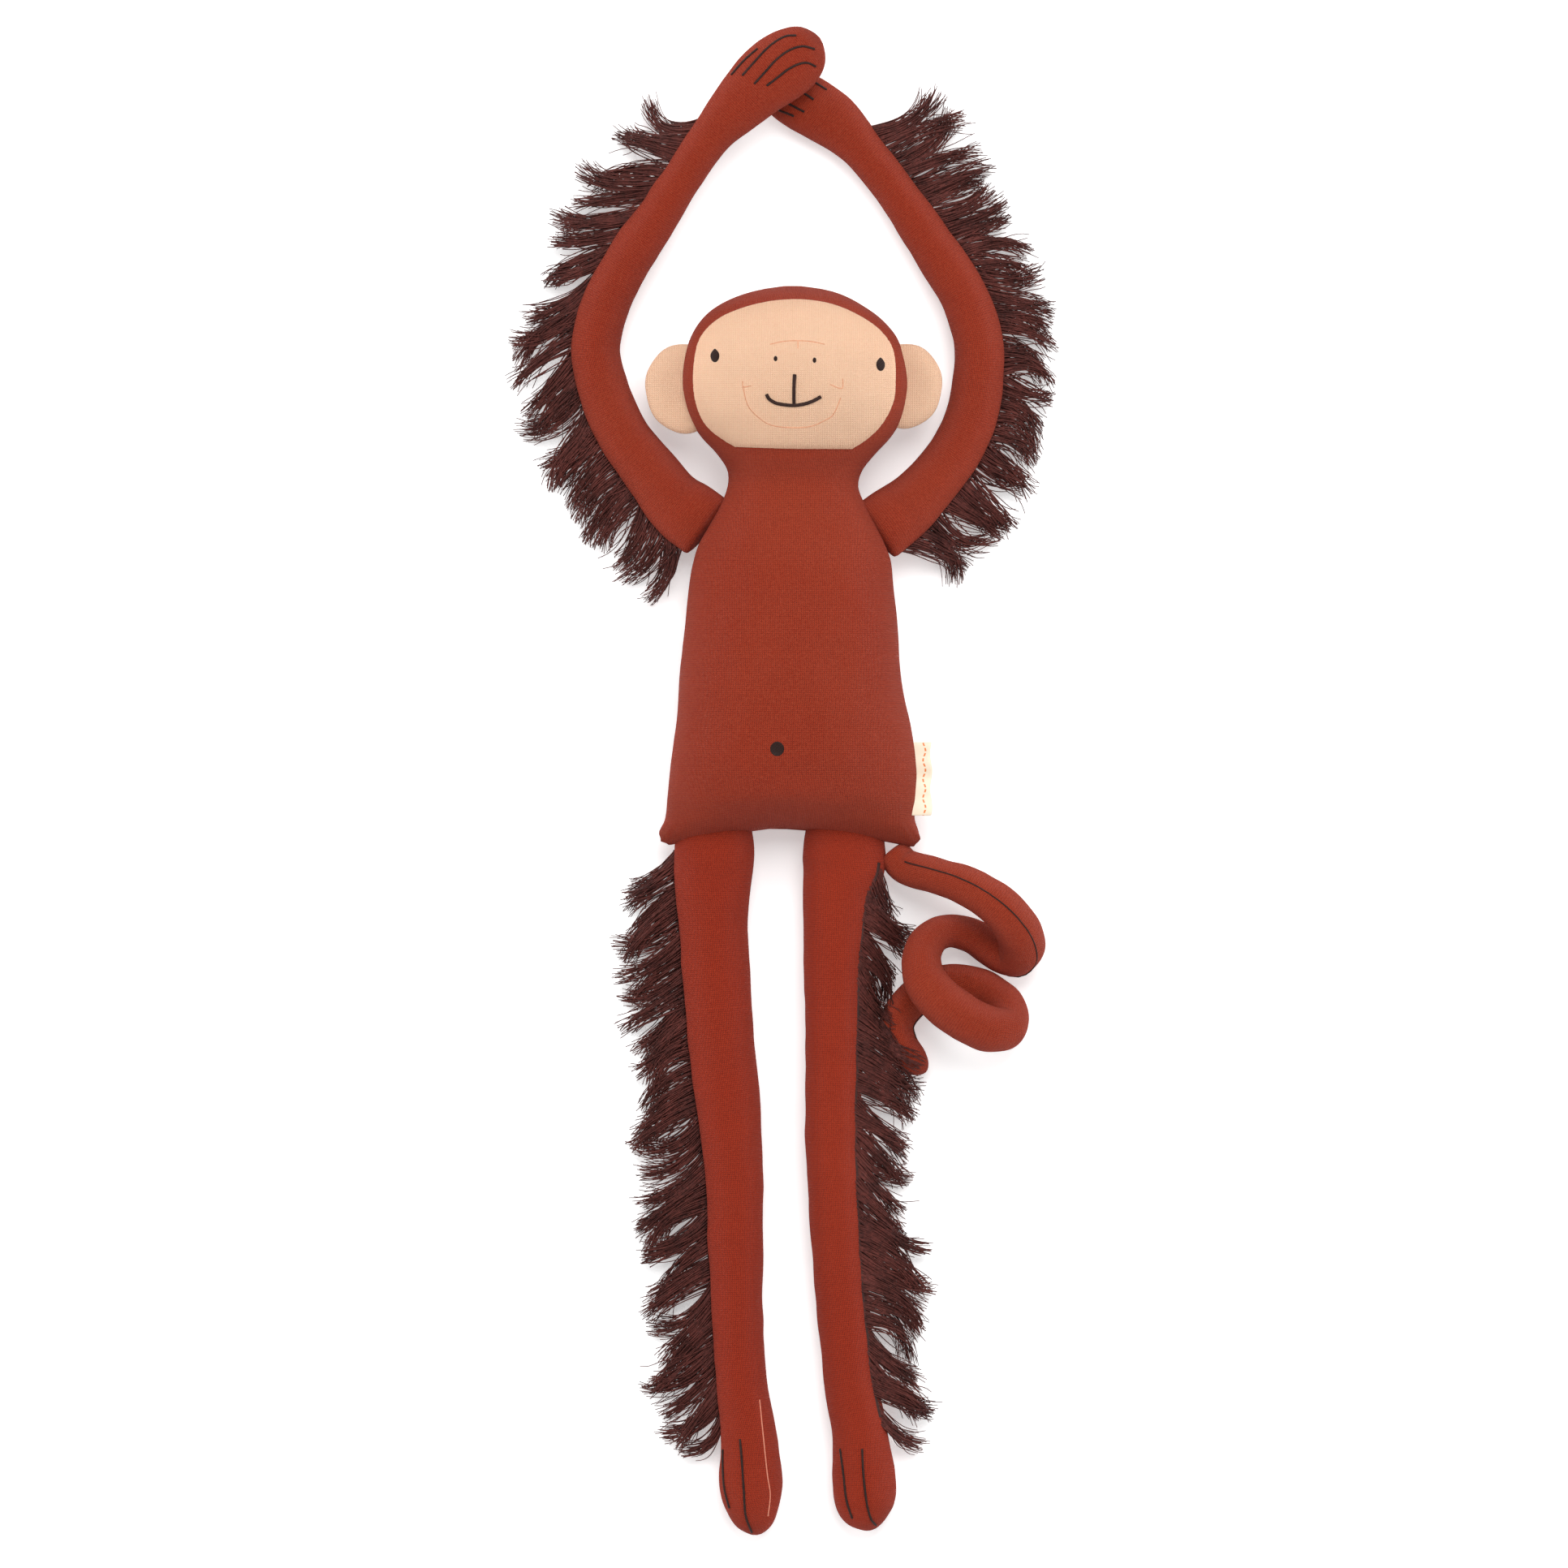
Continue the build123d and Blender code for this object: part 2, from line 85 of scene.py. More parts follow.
SOFTBOXES = {         # place in metres, size and power
    "overhead_softbox": ((0.25, 1.15, 2.3), 1.5, 41),
    "left_softbox": ((-2.0, 0.6, 1.5), 1.4, 15),
    "right_softbox": ((2.0, -0.6, 1.5), 1.4, 12),
}
draw = random.Random(11)

hinge = {joint["name"]: Vector(joint["pos_m"]) / MM for joint in frame["record"]["behaviour"]["joints"]
         if joint["type"] == "hinge"}


def placed(name, data):
    """A new object in the scene, at the origin."""
    made = bpy.data.objects.new(name, data)
    bpy.context.scene.collection.objects.link(made)
    return made


# ---------------- camera, floor and light
def add_camera():
    low, high = cad_box
    data = bpy.data.cameras.new("camera")
    camera = placed("camera", data)
    data.sensor_width = 36.0
    data.lens = data.sensor_width * CAMERA_DISTANCE / FRAME_WIDTH
    data.clip_end = 20.0
    camera.location = (CAMERA_X, (low.y + high.y) / 2, CAMERA_DISTANCE)
    bpy.context.scene.camera = camera


def add_floor():
    mesh = bmesh.new()
    bmesh.ops.create_grid(mesh, x_segments=1, y_segments=1, size=FLOOR_SIZE)
    data = bpy.data.meshes.new("floor")
    mesh.to_mesh(data)
    mesh.free()
    floor = placed("floor", data)
    floor.location.z = FLOOR_HEIGHT
    pale = plain_finish("pale_floor", (0.93, 0.93, 0.93), 0.9)
    lit = pale.node_tree.nodes["Principled BSDF"]
    lit.inputs["Emission Color"].default_value = (1.0, 1.0, 1.0, 1.0)
    lit.inputs["Emission Strength"].default_value = FLOOR_GLOW
    data.materials.append(pale)


def add_light(name, place, size, power):
    data = bpy.data.lights.new(name, "AREA")
    data.shape = "DISK"
    data.size = size
    data.energy = power
    light = placed(name, data)
    light.location = place
    light.rotation_euler = (-Vector(place)).to_track_quat("-Z", "Y").to_euler()


def add_studio():
    add_floor()
    for name, (place, size, power) in SOFTBOXES.items():
        add_light(name, place, size, power)
    world = bpy.data.worlds.new("studio")
    world.use_nodes = True
    background = world.node_tree.nodes["Background"].inputs
    background["Color"].default_value = (1.0, 1.0, 1.0, 1.0)
    background["Strength"].default_value = ROOM_LIGHT
    bpy.context.scene.world = world
    bpy.context.scene.view_settings.view_transform = "Standard"


# ---------------- materials
class Value:
    """A number from a node's socket, on which Python's operators add Math nodes."""

    def __init__(self, finish, socket):
        self.finish = finish
        self.socket = socket

    def math(self, operation, *others):
        return self.finish.node("ShaderNodeMath", {"operation": operation}, dict(enumerate((self,) + others)))

    def __add__(self, other):
        return self.math("ADD", other)

    def __mul__(self, other):
        return self.math("MULTIPLY", other)

    def __sub__(self, other):
        return self.math("SUBTRACT", other)

    def __rsub__(self, other):
        return self.finish.node("ShaderNodeMath", {"operation": "SUBTRACT"}, {0: other, 1: self})

    def __truediv__(self, other):
        return self.math("DIVIDE", other)

    __radd__ = __add__
    __rmul__ = __mul__

    def fract(self):
        return self.math("FRACT")

    def power(self, exponent):
        return self.math("POWER", exponent)

    def size(self):
        return self.math("ABSOLUTE")


class Finish:
    """One material under construction."""

    def __init__(self, name):
        self.material = bpy.data.materials.new(name)
        self.material.use_nodes = True
        self.tree = self.material.node_tree
        self.shader = self.tree.nodes["Principled BSDF"]

    def node(self, kind, settings=None, values=None, output=0):
        made = self.tree.nodes.new(kind)
        for setting, value in (settings or {}).items():
            if setting == "stops":
                self.set_stops(made.color_ramp, value)
            else:
                setattr(made, setting, value)
        for socket, value in (values or {}).items():
            self.give(made.inputs[socket], value)
        return Value(self, made.outputs[output])

    def set_stops(self, ramp, stops):
        while len(ramp.elements) < len(stops):
            ramp.elements.new(0.5)
        for element, (position, color) in zip(ramp.elements, stops):
            element.position = position
            element.color = (*color, 1.0)

    def give(self, socket, value):
        if isinstance(value, Value):
            self.tree.links.new(value.socket, socket)
        elif isinstance(value, tuple) and len(value) == 3 and len(socket.default_value) == 4:
            socket.default_value = (*value, 1.0)
        else:
            socket.default_value = value

    def mix(self, share, first, second):
        return self.node("ShaderNodeMix", {"data_type": "RGBA"}, {0: share, 6: first, 7: second}, 2)

    def own_place(self):
        return self.node("ShaderNodeTexCoord", output="Object")

    def split(self, place):
        """The x and y of a place."""
        return [self.node("ShaderNodeSeparateXYZ", None, {0: place}, axis) for axis in ("X", "Y")]

    def noise(self, scale, detail=2.0, roughness=0.5):
        return self.node("ShaderNodeTexNoise", None, {
            "Vector": self.own_place(), "Scale": scale, "Detail": detail, "Roughness": roughness}, "Fac")

    def set(self, **sockets):
        for name, value in sockets.items():
            self.give(self.shader.inputs[name.replace("_", " ").title().replace("Ior", "IOR")], value)

    def bump(self, height, distance, strength, under=None):
        values = {"Height": height, "Distance": distance, "Strength": strength}
        if under:
            values["Normal"] = under
        return self.node("ShaderNodeBump", None, values)


def plain_finish(name, color, roughness):
    finish = Finish(name)
    grain = finish.noise(60.0)
    finish.set(base_color=finish.mix(grain * 0.1, color, tuple(c * 0.9 for c in color)), roughness=roughness)
    return finish.material


def stockinette(finish):
    """Height of rows of V-shaped stitches on the piece's own map, from 0 in the gaps to 1 on the yarn."""
    across, along = finish.split(finish.node("ShaderNodeUVMap", {"uv_map": KNIT_MAP}))
    wander = finish.noise(90.0, 2.0) - 0.5
    across = across / WALE + wander * 0.5
    along = along / COURSE + wander * 0.4
    side = (across.fract() - 0.5).size() * 2.0
    leg = 1.0 - (side * 2.0 - 1.0).power(2.0)
    row = (along + side * 0.55).fract()
    loop = 1.0 - (row * 2.0 - 1.0).power(2.0)
    return leg * (loop * 0.7 + 0.3)


def knit_finish(name, color, gap_shade, worn, sheen=0.22):
    """Fine knit: stitches with painted shade in the gaps between them, a heather of darker and dustier
    fibres, and a soft sheen.
    """
    finish = Finish(name)
    stitch = stockinette(finish)
    heather = finish.noise(1400.0, 3.0)
    patch = finish.noise(38.0, 4.0, roughness=0.6)
    wide = finish.noise(11.0, 2.0)
    # Painted shade: the gaps between stitches take the darker gap colour.
    base = finish.mix(stitch, gap_shade, color)
    base = finish.mix((heather - 0.35) * 0.9, base, worn)
    base = finish.mix((patch - 0.45) * 0.8, base, tuple(c * 0.86 for c in color))
    base = finish.mix((wide - 0.45) * 0.7, base, worn)
    finish.set(base_color=base, roughness=0.85, sheen_weight=sheen, sheen_roughness=0.45,
               sheen_tint=tuple(min(1.0, c * 1.5 + 0.25) for c in color), specular_ior_level=0.2)
    fuzz = finish.bump(heather, 0.12 * MM, 0.5)
    finish.set(normal=finish.bump(stitch, 0.38 * MM, 1.0, fuzz))
    return finish.material


def thread_finish(name, dark, light, scale=900.0):
    """Twisted thread: strands that differ a little in colour, with a silky sheen."""
    finish = Finish(name)
    strand = finish.noise(scale, 2.0)
    tuft = finish.noise(130.0, 2.0)
    base = finish.node("ShaderNodeValToRGB", {"stops": [(0.3, dark), (0.72, light)]},
                       {0: strand * 0.55 + tuft * 0.45})
    finish.set(base_color=base, roughness=0.6, sheen_weight=0.08, sheen_roughness=0.4,
               sheen_tint=(0.7, 0.35, 0.3), specular_ior_level=0.22)
    twist = finish.noise(2600.0, 1.0)
    finish.set(normal=finish.bump(twist, 0.15 * MM, 0.6))
    return finish.material


def label_finish(name):
    """Satin label tape with a line of plain running stitches."""
    finish = Finish(name)
    x, y = finish.split(finish.own_place())
    wave = (y * 900.0).math("SINE") * 0.00045
    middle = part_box("side_label")[1].x - 0.0026
    near = (x + wave - middle).size()
    line = near.math("LESS_THAN", 0.00032)
    dash = (y / 0.0019).fract().math("LESS_THAN", 0.62)
    weave = finish.noise(2200.0, 1.0)
    base = finish.mix(weave * 0.25, (0.92, 0.80, 0.62), (0.80, 0.66, 0.48))
    finish.set(base_color=finish.mix(line * dash, base, (0.78, 0.22, 0.05)), roughness=0.5,
               sheen_weight=0.3, sheen_roughness=0.3)
    finish.set(normal=finish.bump(weave, 0.08 * MM, 0.5))
    return finish.material


def satin_finish(name):
    """Parallel satin stitches, seen as fine ridges across the patch, with painted highlight on their crests
    and painted shade between them.
    """
    finish = Finish(name)
    x, y = finish.split(finish.own_place())
    ridge = ((y + x * 0.35) / (0.42 * MM)).fract() - 0.5
    ridge = 1.0 - ridge.size() * 2.0
    # Painted highlight and painted shade: the crests take the lighter colour, the grooves between stitches
    # the darker one.
    finish.set(base_color=finish.mix(ridge, (0.008, 0.003, 0.0024), (0.040, 0.015, 0.011)), roughness=0.55,
               sheen_weight=0.05, specular_ior_level=0.2)
    finish.set(normal=finish.bump(ridge, 0.2 * MM, 0.9))
    return finish.material


# Each knit's second colour (its gap colour) is painted shade in the gaps between its stitches.
RUST = (0.432, 0.034, 0.0055)
RUST_GAP_SHADE = (0.110, 0.0065, 0.0018)
RUST_WORN = (0.50, 0.085, 0.036)
LEG_RUST = (0.445, 0.029, 0.0035)
LEG_WORN = (0.47, 0.055, 0.018)
FLESH = (0.99, 0.625, 0.405)
FLESH_GAP_SHADE = (0.90, 0.475, 0.295)
FLESH_WORN = (1.0, 0.72, 0.52)
knit = {
    "rust": knit_finish("rust_knit", RUST, RUST_GAP_SHADE, RUST_WORN),
    "leg": knit_finish("leg_rust_knit", LEG_RUST, (0.115, 0.0065, 0.0016), LEG_WORN),
    "flesh": knit_finish("flesh_knit", FLESH, FLESH_GAP_SHADE, FLESH_WORN, sheen=0.12),
    # painted shade: a darker flesh knit for the threads laid along the muzzle's creases
    "crease": knit_finish("muzzle_crease_shade", (0.66, 0.29, 0.165), (0.55, 0.22, 0.12), FLESH_GAP_SHADE, sheen=0.1),
}
fringe_thread = thread_finish("fringe_thread", (0.026, 0.0062, 0.0050), (0.150, 0.036, 0.028))
embroidery_thread = thread_finish("embroidery_thread", (0.010, 0.0035, 0.0026), (0.040, 0.014, 0.010), 1500.0)
seam_thread = thread_finish("pale_seam_thread", (0.55, 0.16, 0.10), (0.68, 0.27, 0.18), 1500.0)
tape_weave = thread_finish("fringe_tape_weave", (0.020, 0.007, 0.006), (0.060, 0.02, 0.016), 1200.0)
satin_thread = satin_finish("satin_stitch")


# ---------------- lines and shapes
class Track:
    """Smooth values between a few rows of numbers. The first is the place along, or else it is by length."""

    def __init__(self, rows, by_length=False):
        self.rows = [tuple(row) for row in rows]
        if by_length:
            self.knots = [0.0]
            for before, after in zip(self.rows, self.rows[1:]):
                self.knots.append(self.knots[-1] + (Vector(after[:3]) - Vector(before[:3])).length)
        else:
            self.knots = [row[0] for row in self.rows]
            self.rows = [row[1:] for row in self.rows]
        self.length = self.knots[-1] - self.knots[0]

    def slope(self, place):
        low, high = max(place - 1, 0), min(place + 1, len(self.rows) - 1)
        span = self.knots[high] - self.knots[low]
        return [(b - a) / span for a, b in zip(self.rows[low], self.rows[high])]

    def at(self, where):
        where = min(max(where, self.knots[0]), self.knots[-1])
        place = 0
        while place < len(self.knots) - 2 and self.knots[place + 1] < where:
            place += 1
        span = self.knots[place + 1] - self.knots[place]
        t = (where - self.knots[place]) / span
        shares = (2 * t ** 3 - 3 * t ** 2 + 1, t ** 3 - 2 * t ** 2 + t,
                  -2 * t ** 3 + 3 * t ** 2, t ** 3 - t ** 2)
        ends = zip(self.rows[place], self.rows[place + 1], self.slope(place), self.slope(place + 1))
        return [shares[0] * a + shares[1] * span * da + shares[2] * b + shares[3] * span * db
                for a, b, da, db in ends]


def flat_track(points):
    """A smooth line through points that lie flat."""
    return Track([(*point, 0.0) for point in points], by_length=True)


def smoothstep(low, high, value):
    t = min(max((value - low) / (high - low), 0.0), 1.0)
    return t * t * (3 - 2 * t)


def squarer(share, square):
    """A cosine or sine whose circle is drawn out towards a square, for a power below 1."""
    return math.copysign(abs(share) ** square, share)


def lumps(point, size, height):
    """A gentle unevenness of stuffing, the same each run."""
    return noise.noise(Vector(point) / size) * height


def new_piece(name, mesh, material):
    data = bpy.data.meshes.new(name)
    mesh.to_mesh(data)
    mesh.free()
    return show(name, data, material)


def show(name, data, material):
    """A smooth piece of one material."""
    data.materials.append(material)
    for face in data.polygons:
        face.use_smooth = True
    return placed(name, data)


def next_ring(mesh, edges):
    """Extrude a ring of edges once, and give the new ring's edges and vertices."""
    made = bmesh.ops.extrude_edge_only(mesh, edges=edges)["geom"]
    return [[item for item in made if isinstance(item, kind)]
            for kind in (bmesh.types.BMEdge, bmesh.types.BMVert)]


def closed_tube(name, rings, sides, place, panels, material, flat_end=None):
    """A tube drawn ring by ring and closed at both ends. place(ring, turn) is a point in mm.

    panels are (first turn, last turn, middle turn): the knit map runs out from each panel's middle line.
    flat_end is 0 or 1 for an end that stays flat and sharp, where another tube meets it."""
    mesh = bmesh.new()
    turn_of = mesh.verts.layers.int.new("turn")
    ring_of = mesh.verts.layers.int.new("ring")
    crease = mesh.edges.layers.float.new("crease_edge")
    bmesh.ops.create_circle(mesh, segments=sides, radius=1.0)
    mesh.verts.ensure_lookup_table()
    grid = []
    for turn, vertex in enumerate(mesh.verts):
        vertex[turn_of] = turn
        vertex.co = place(0, turn)
    edges = first_edges = list(mesh.edges)
    grid.append([vertex.co.copy() for vertex in mesh.verts])
    for ring in range(1, rings):
        edges, verts = next_ring(mesh, edges)
        row = [None] * sides
        for vertex in verts:
            vertex[ring_of] = ring
            vertex.co = place(ring, vertex[turn_of])
            row[vertex[turn_of]] = vertex.co.copy()
        grid.append(row)
    bmesh.ops.contextual_create(mesh, geom=first_edges)
    bmesh.ops.contextual_create(mesh, geom=edges)
    if flat_end is not None:
        for edge in (first_edges, edges)[flat_end]:
            edge[crease] = 1.0
            edge.smooth = False
    bmesh.ops.recalc_face_normals(mesh, faces=mesh.faces)
    map_knit(mesh, grid, sides, panels, turn_of, ring_of)
    bmesh.ops.scale(mesh, vec=(MM, MM, MM), verts=mesh.verts)
    return new_piece(name, mesh, material)


def shrinking_rings(count, shares, lay):
    """A mesh of rings that shrink to the middle and face up. lay(turn, share) is a point in metres."""
    mesh = bmesh.new()
    turn_of = mesh.verts.layers.int.new("turn")
    bmesh.ops.create_circle(mesh, segments=count, radius=1.0)
    for turn, vertex in enumerate(mesh.verts):
        vertex[turn_of] = turn
        vertex.co = lay(turn, shares[0])
    edges = list(mesh.edges)
    for share in shares[1:]:
        edges, verts = next_ring(mesh, edges)
        for vertex in verts:
            vertex.co = lay(vertex[turn_of], share)
    bmesh.ops.contextual_create(mesh, geom=edges)
    bmesh.ops.recalc_face_normals(mesh, faces=mesh.faces)
    if sum(face.normal.z for face in mesh.faces) < 0:
        bmesh.ops.reverse_faces(mesh, faces=mesh.faces)
    return mesh


def map_knit(mesh, grid, sides, panels, turn_of, ring_of):
    """Lay the knit map: length round the ring from each panel's middle, and length along the tube."""
    around = []
    for row in grid:
        sums = [0.0]
        for turn in range(sides):
            sums.append(sums[-1] + (row[(turn + 1) % sides] - row[turn]).length)
        around.append(sums)
    along = [0.0]
    for before, after in zip(grid, grid[1:]):
        middle = sum((b - a).length for a, b in zip(before, after)) / sides
        along.append(along[-1] + middle)
    knit_map = mesh.loops.layers.uv.new(KNIT_MAP)
    for face in mesh.faces:
        turns = [vertex[turn_of] for vertex in face.verts]
        if len(turns) > 4:      # a closing face
            continue
        wraps = max(turns) - min(turns) > sides / 2
        turns = [turn + sides if wraps and turn < sides / 2 else turn for turn in turns]
        centre = sum(turns) / len(turns)
        middle = next((panel[2] for panel in panels if panel[0] <= centre <= panel[1]), panels[0][2])
        for loop, turn in zip(face.loops, turns):
            ring = loop.vert[ring_of]
            loop[knit_map].uv = (around[ring][turn] - around[ring][middle], along[ring])


def subdivided(piece):
    divide = piece.modifiers.new("smooth", "SUBSURF")
    divide.levels = divide.render_levels = 1
    return piece


def surface_of(piece):
    """What a stitch can be laid on: the surface of a piece."""
    corners = [vertex.co.copy() for vertex in piece.data.vertices]
    return BVHTree.FromPolygons(corners, [tuple(face.vertices) for face in piece.data.polygons])


def top_of(surface, x, y, rise=0.0):
    """The point in metres on a surface below the sky at x, y in mm, or None."""
    found = surface.ray_cast(Vector((x * MM, y * MM, 0.4)), Vector((0, 0, -1)))
    if found[0] is None:
        return None
    return found[0] + found[1] * rise * MM


def threads(name, paths, radius, material, taper=None, order=2):
    """Threads as one piece: each path is a list of points in metres."""
    curve = bpy.data.curves.new(name, "CURVE")
    curve.dimensions = "3D"
    curve.bevel_depth = radius * MM
    curve.bevel_resolution = order - 1
    curve.use_fill_caps = True
    for path in paths:
        line = curve.splines.new("POLY")
        line.points.add(len(path) - 1)
        for place, point in enumerate(path):
            line.points[place].co = (*point, 1.0)
            line.points[place].radius = taper(place / (len(path) - 1)) if taper else 1.0
    holder = placed(name + "_line", curve)
    data = bpy.data.meshes.new_from_object(holder)
    bpy.data.objects.remove(holder)
    data.name = name
    data.materials.clear()
    return show(name, data, material)


PATH_STEP = 0.45      # between the points of a stitched line
BACK_STITCH = 2.6     # length of one stitch
STITCH_DIP = 0.16     # how far its ends sink into the cloth


def laid_line(points, surface, rise):
    """The path in metres of a line laid on a surface."""
    track = flat_track(points)
    count = max(int(track.length / PATH_STEP), 4)
    laid = [top_of(surface, *track.at(track.length * place / count)[:2], rise) for place in range(count + 1)]
    return [point for point in laid if point is not None]


def back_stitch(name, lines, surface, radius, material, rise=0.12):
    """Lines of back stitch: each stitch stands up in its middle and dips into the cloth at its ends."""
    paths = []
    for points in lines:
        path = laid_line(points, surface, rise)
        length = 0.0
        shaped = []
        for before, after in zip(path[:1] + path, path):
            length += (after - before).length / MM
            share = (length / BACK_STITCH) % 1.0
            shaped.append(after - UP * (STITCH_DIP * MM * (2 * share - 1) ** 4))
        paths.append(shaped)
    return threads(name, paths, radius, material, order=3)


# ---------------- torso and head cover
BOTTOM = -58.0
CROWN = 148.6
CHIN_LINE = 84.0      # the head is above this
# place along the body, then the right and left edge
EDGES = Track([
    (-58, -45, 45), (-56, -48, 47), (-53, -48.7, 47.3), (-48, -46.6, 45.6),
    (-40, -45.8, 45.9), (-30, -44.7, 46.2), (-15, -42.7, 44.2), (3, -41.3, 40.8),
    (20, -39.5, 39.5), (36, -37.9, 37.9), (47, -36.2, 36.9), (54, -34, 34.2),
    (60, -30.6, 31.2), (68, -26.2, 27), (75, -23.6, 24.5), (81, -23.9, 26.2),
    (87, -27.9, 31.2), (93, -33.3, 36.8), (99, -37, 40.3), (106, -39.3, 42.1),
    (114, -40.2, 42.8), (123, -39.2, 41.3), (130, -37, 38.8), (136, -33.2, 33.8),
    (141, -27.6, 27), (145, -19.6, 19.8), (147.4, -11, 12.4), (CROWN, -3, 4),
])
# place along the body, then the front and back height
HEIGHTS = Track([
    (-58, 15.6, 13.4), (-57, 21, 9.4), (-54, 28.5, 5), (-49, 36, 1.8), (-40, 43.6, 0.4),
    (-26, 48.2, 0), (0, 49, 0), (25, 46, 0), (45, 41, 0.2), (58, 36.4, 1),
    (68, 34, 2.4), (76, 34.2, 2.8), (84, 38.6, 1.6), (92, 45, 0.4), (102, 50.6, 0),
    (114, 53, 0), (126, 51.6, 0), (136, 46, 2.6), (142, 40, 7.5), (146, 33.4, 13.6),
    (CROWN, 26.5, 20.5),
])
SEAM_LINE = Track([(-58, 14.5), (-45, 17.5), (-25, 20.5), (40, 19.5), (72, 18), (90, 21),
                   (115, 23.5), (CROWN, 23.5)])
FACE_SIDE = [
    (22.8, 88), (29.5, 92.6), (34.5, 98.2), (38.2, 106), (38.9, 114), (38.6, 122), (37, 127.4),
    (32.6, 132.8), (25, 138), (14.4, 142.3), (1.8, 143.9), (-11.1, 142.6), (-23.2, 138.8),
    (-30, 134.6), (-34.6, 128.4), (-36.5, 119), (-36.5, 109.8), (-34.9, 102.6), (-32.1, 97.2),
    (-27.4, 92.8), (-21, 88.8),
]
CHIN = [(-21, 88.8), (-9, 88.3), (1.8, 88), (12, 88), (22.8, 88)]
FACE_MIDDLE = Vector((1.0, 113.0, 0.0))


def face_edge(count):
    """Points round the face panel: over the brow from cheek to cheek, and back along the chin."""
    brow, chin = flat_track(FACE_SIDE), flat_track(CHIN)
    whole = brow.length + chin.length
    points = []
    for place in range(count):
        length = whole * place / count
        track, length = (brow, length) if length < brow.length else (chin, length - brow.length)
        points.append(Vector(track.at(length)))
    return points


FACE_EDGE = face_edge(240)


def from_face_edge(x, y):
    return min((Vector((x, y, 0.0)) - point).length for point in FACE_EDGE)


BODY_SIDES = 160
BODY_RINGS = 150
SEAM_PULL = 0.55      # how far the side seams draw the cover in
FACE_GROOVE = 0.75    # depth and half width of the groove round the face
FACE_GROOVE_REACH = 1.1
HEM_SAG = 7.0         # how much lower the corners of the bottom hem are than its middle


def body_station(ring):
    """Place along the body, closer together towards the rounded ends."""
    share = ring / (BODY_RINGS - 1)
    eased = share - 0.055 * math.sin(2 * math.pi * share) * 0.9
    return BOTTOM + (CROWN - BOTTOM) * min(max(eased, 0.0), 1.0)


def body_point(ring, turn):
    y = body_station(ring)
    right_edge, left_edge = EDGES.at(y)
    front, back = HEIGHTS.at(y)
    seam = SEAM_LINE.at(y)[0]
    angle = 2 * math.pi * turn / BODY_SIDES
    headness = smoothstep(70, 95, y)
    square = 2.0 / (2.5 - 0.3 * headness)
    across = squarer(math.cos(angle), square)
    rise = abs(math.sin(angle)) ** square
    middle, half = (right_edge + left_edge) / 2, (left_edge - right_edge) / 2
    x = middle + half * across
    z = seam + (front - seam) * rise if math.sin(angle) > 0 else seam - (seam - back) * rise
    bottom = smoothstep(-36.0, BOTTOM, y)
    y += bottom * HEM_SAG * (1 - min(abs(x + 2.0) / 46.0, 1.0) ** 1.3)
    out = Vector((math.cos(angle), 0.0, math.sin(angle)))
    point = Vector((x, y, z))
    fullness = 1.0 - 0.6 * smoothstep(0.25, 0.0, 1 - abs(math.cos(angle)))
    point += out * (lumps((x, y, z), 17.0, 0.75) + lumps((x + 60, y, z), 7.0, 0.28)) * fullness
    if turn % (BODY_SIDES // 2) == 0:
        point -= Vector((math.copysign(SEAM_PULL, math.cos(angle)), 0, 0))
    if z > seam and y > CHIN_LINE:
        point.z -= FACE_GROOVE * math.exp(-(from_face_edge(x, y) / FACE_GROOVE_REACH) ** 2)
    if y < -47.0 and abs(x) > 38.0:
        gather = math.sin((abs(x) + y * 0.6) * 1.9) * 0.35 * smoothstep(-47.0, -55.0, y)
        point += out * gather
    point.z = max(point.z, ON_FLOOR)
    return point


def make_body():
    """One cover for torso and head, with a front and a back panel."""
    half = BODY_SIDES // 2
    panels = [(0, half, half // 2), (half, BODY_SIDES, half + half // 2)]
    body = closed_tube("body_cover", BODY_RINGS, BODY_SIDES, body_point, panels, knit["rust"])
    return body


# ---------------- face
FACE_SIDES = 144
FACE_REACH = 38.0     # from the face's middle to its edge


def make_face(body_surface):
    """The inset face panel: rings that shrink from the sewn edge to the middle, laid on the head."""
    edge = face_edge(FACE_SIDES)
    shares = [1.015, 1.0, 0.985, 0.96, 0.92] + [0.86 - 0.06 * step for step in range(14)] + [0.012]

    def lay(turn, share):
        flat = FACE_MIDDLE + (edge[turn] - FACE_MIDDLE) * share
        inset = (1.0 - share) * FACE_REACH
        rise = -0.5 + 1.35 * smoothstep(-0.4, 1.8, inset)
        under = top_of(body_surface, flat.x, flat.y)
        return Vector((flat.x * MM, flat.y * MM, under.z + rise * MM))

    mesh = shrinking_rings(len(edge), shares, lay)
    knit_map = mesh.loops.layers.uv.new(KNIT_MAP)
    for face in mesh.faces:
        for loop in face.loops:
            loop[knit_map].uv = (loop.vert.co.x / MM, loop.vert.co.y / MM)
    panel = new_piece("face_panel_knit", mesh, knit["flesh"])
    thick = panel.modifiers.new("thickness", "SOLIDIFY")
    thick.thickness = 0.7 * MM
    thick.offset = -1.0
    return panel


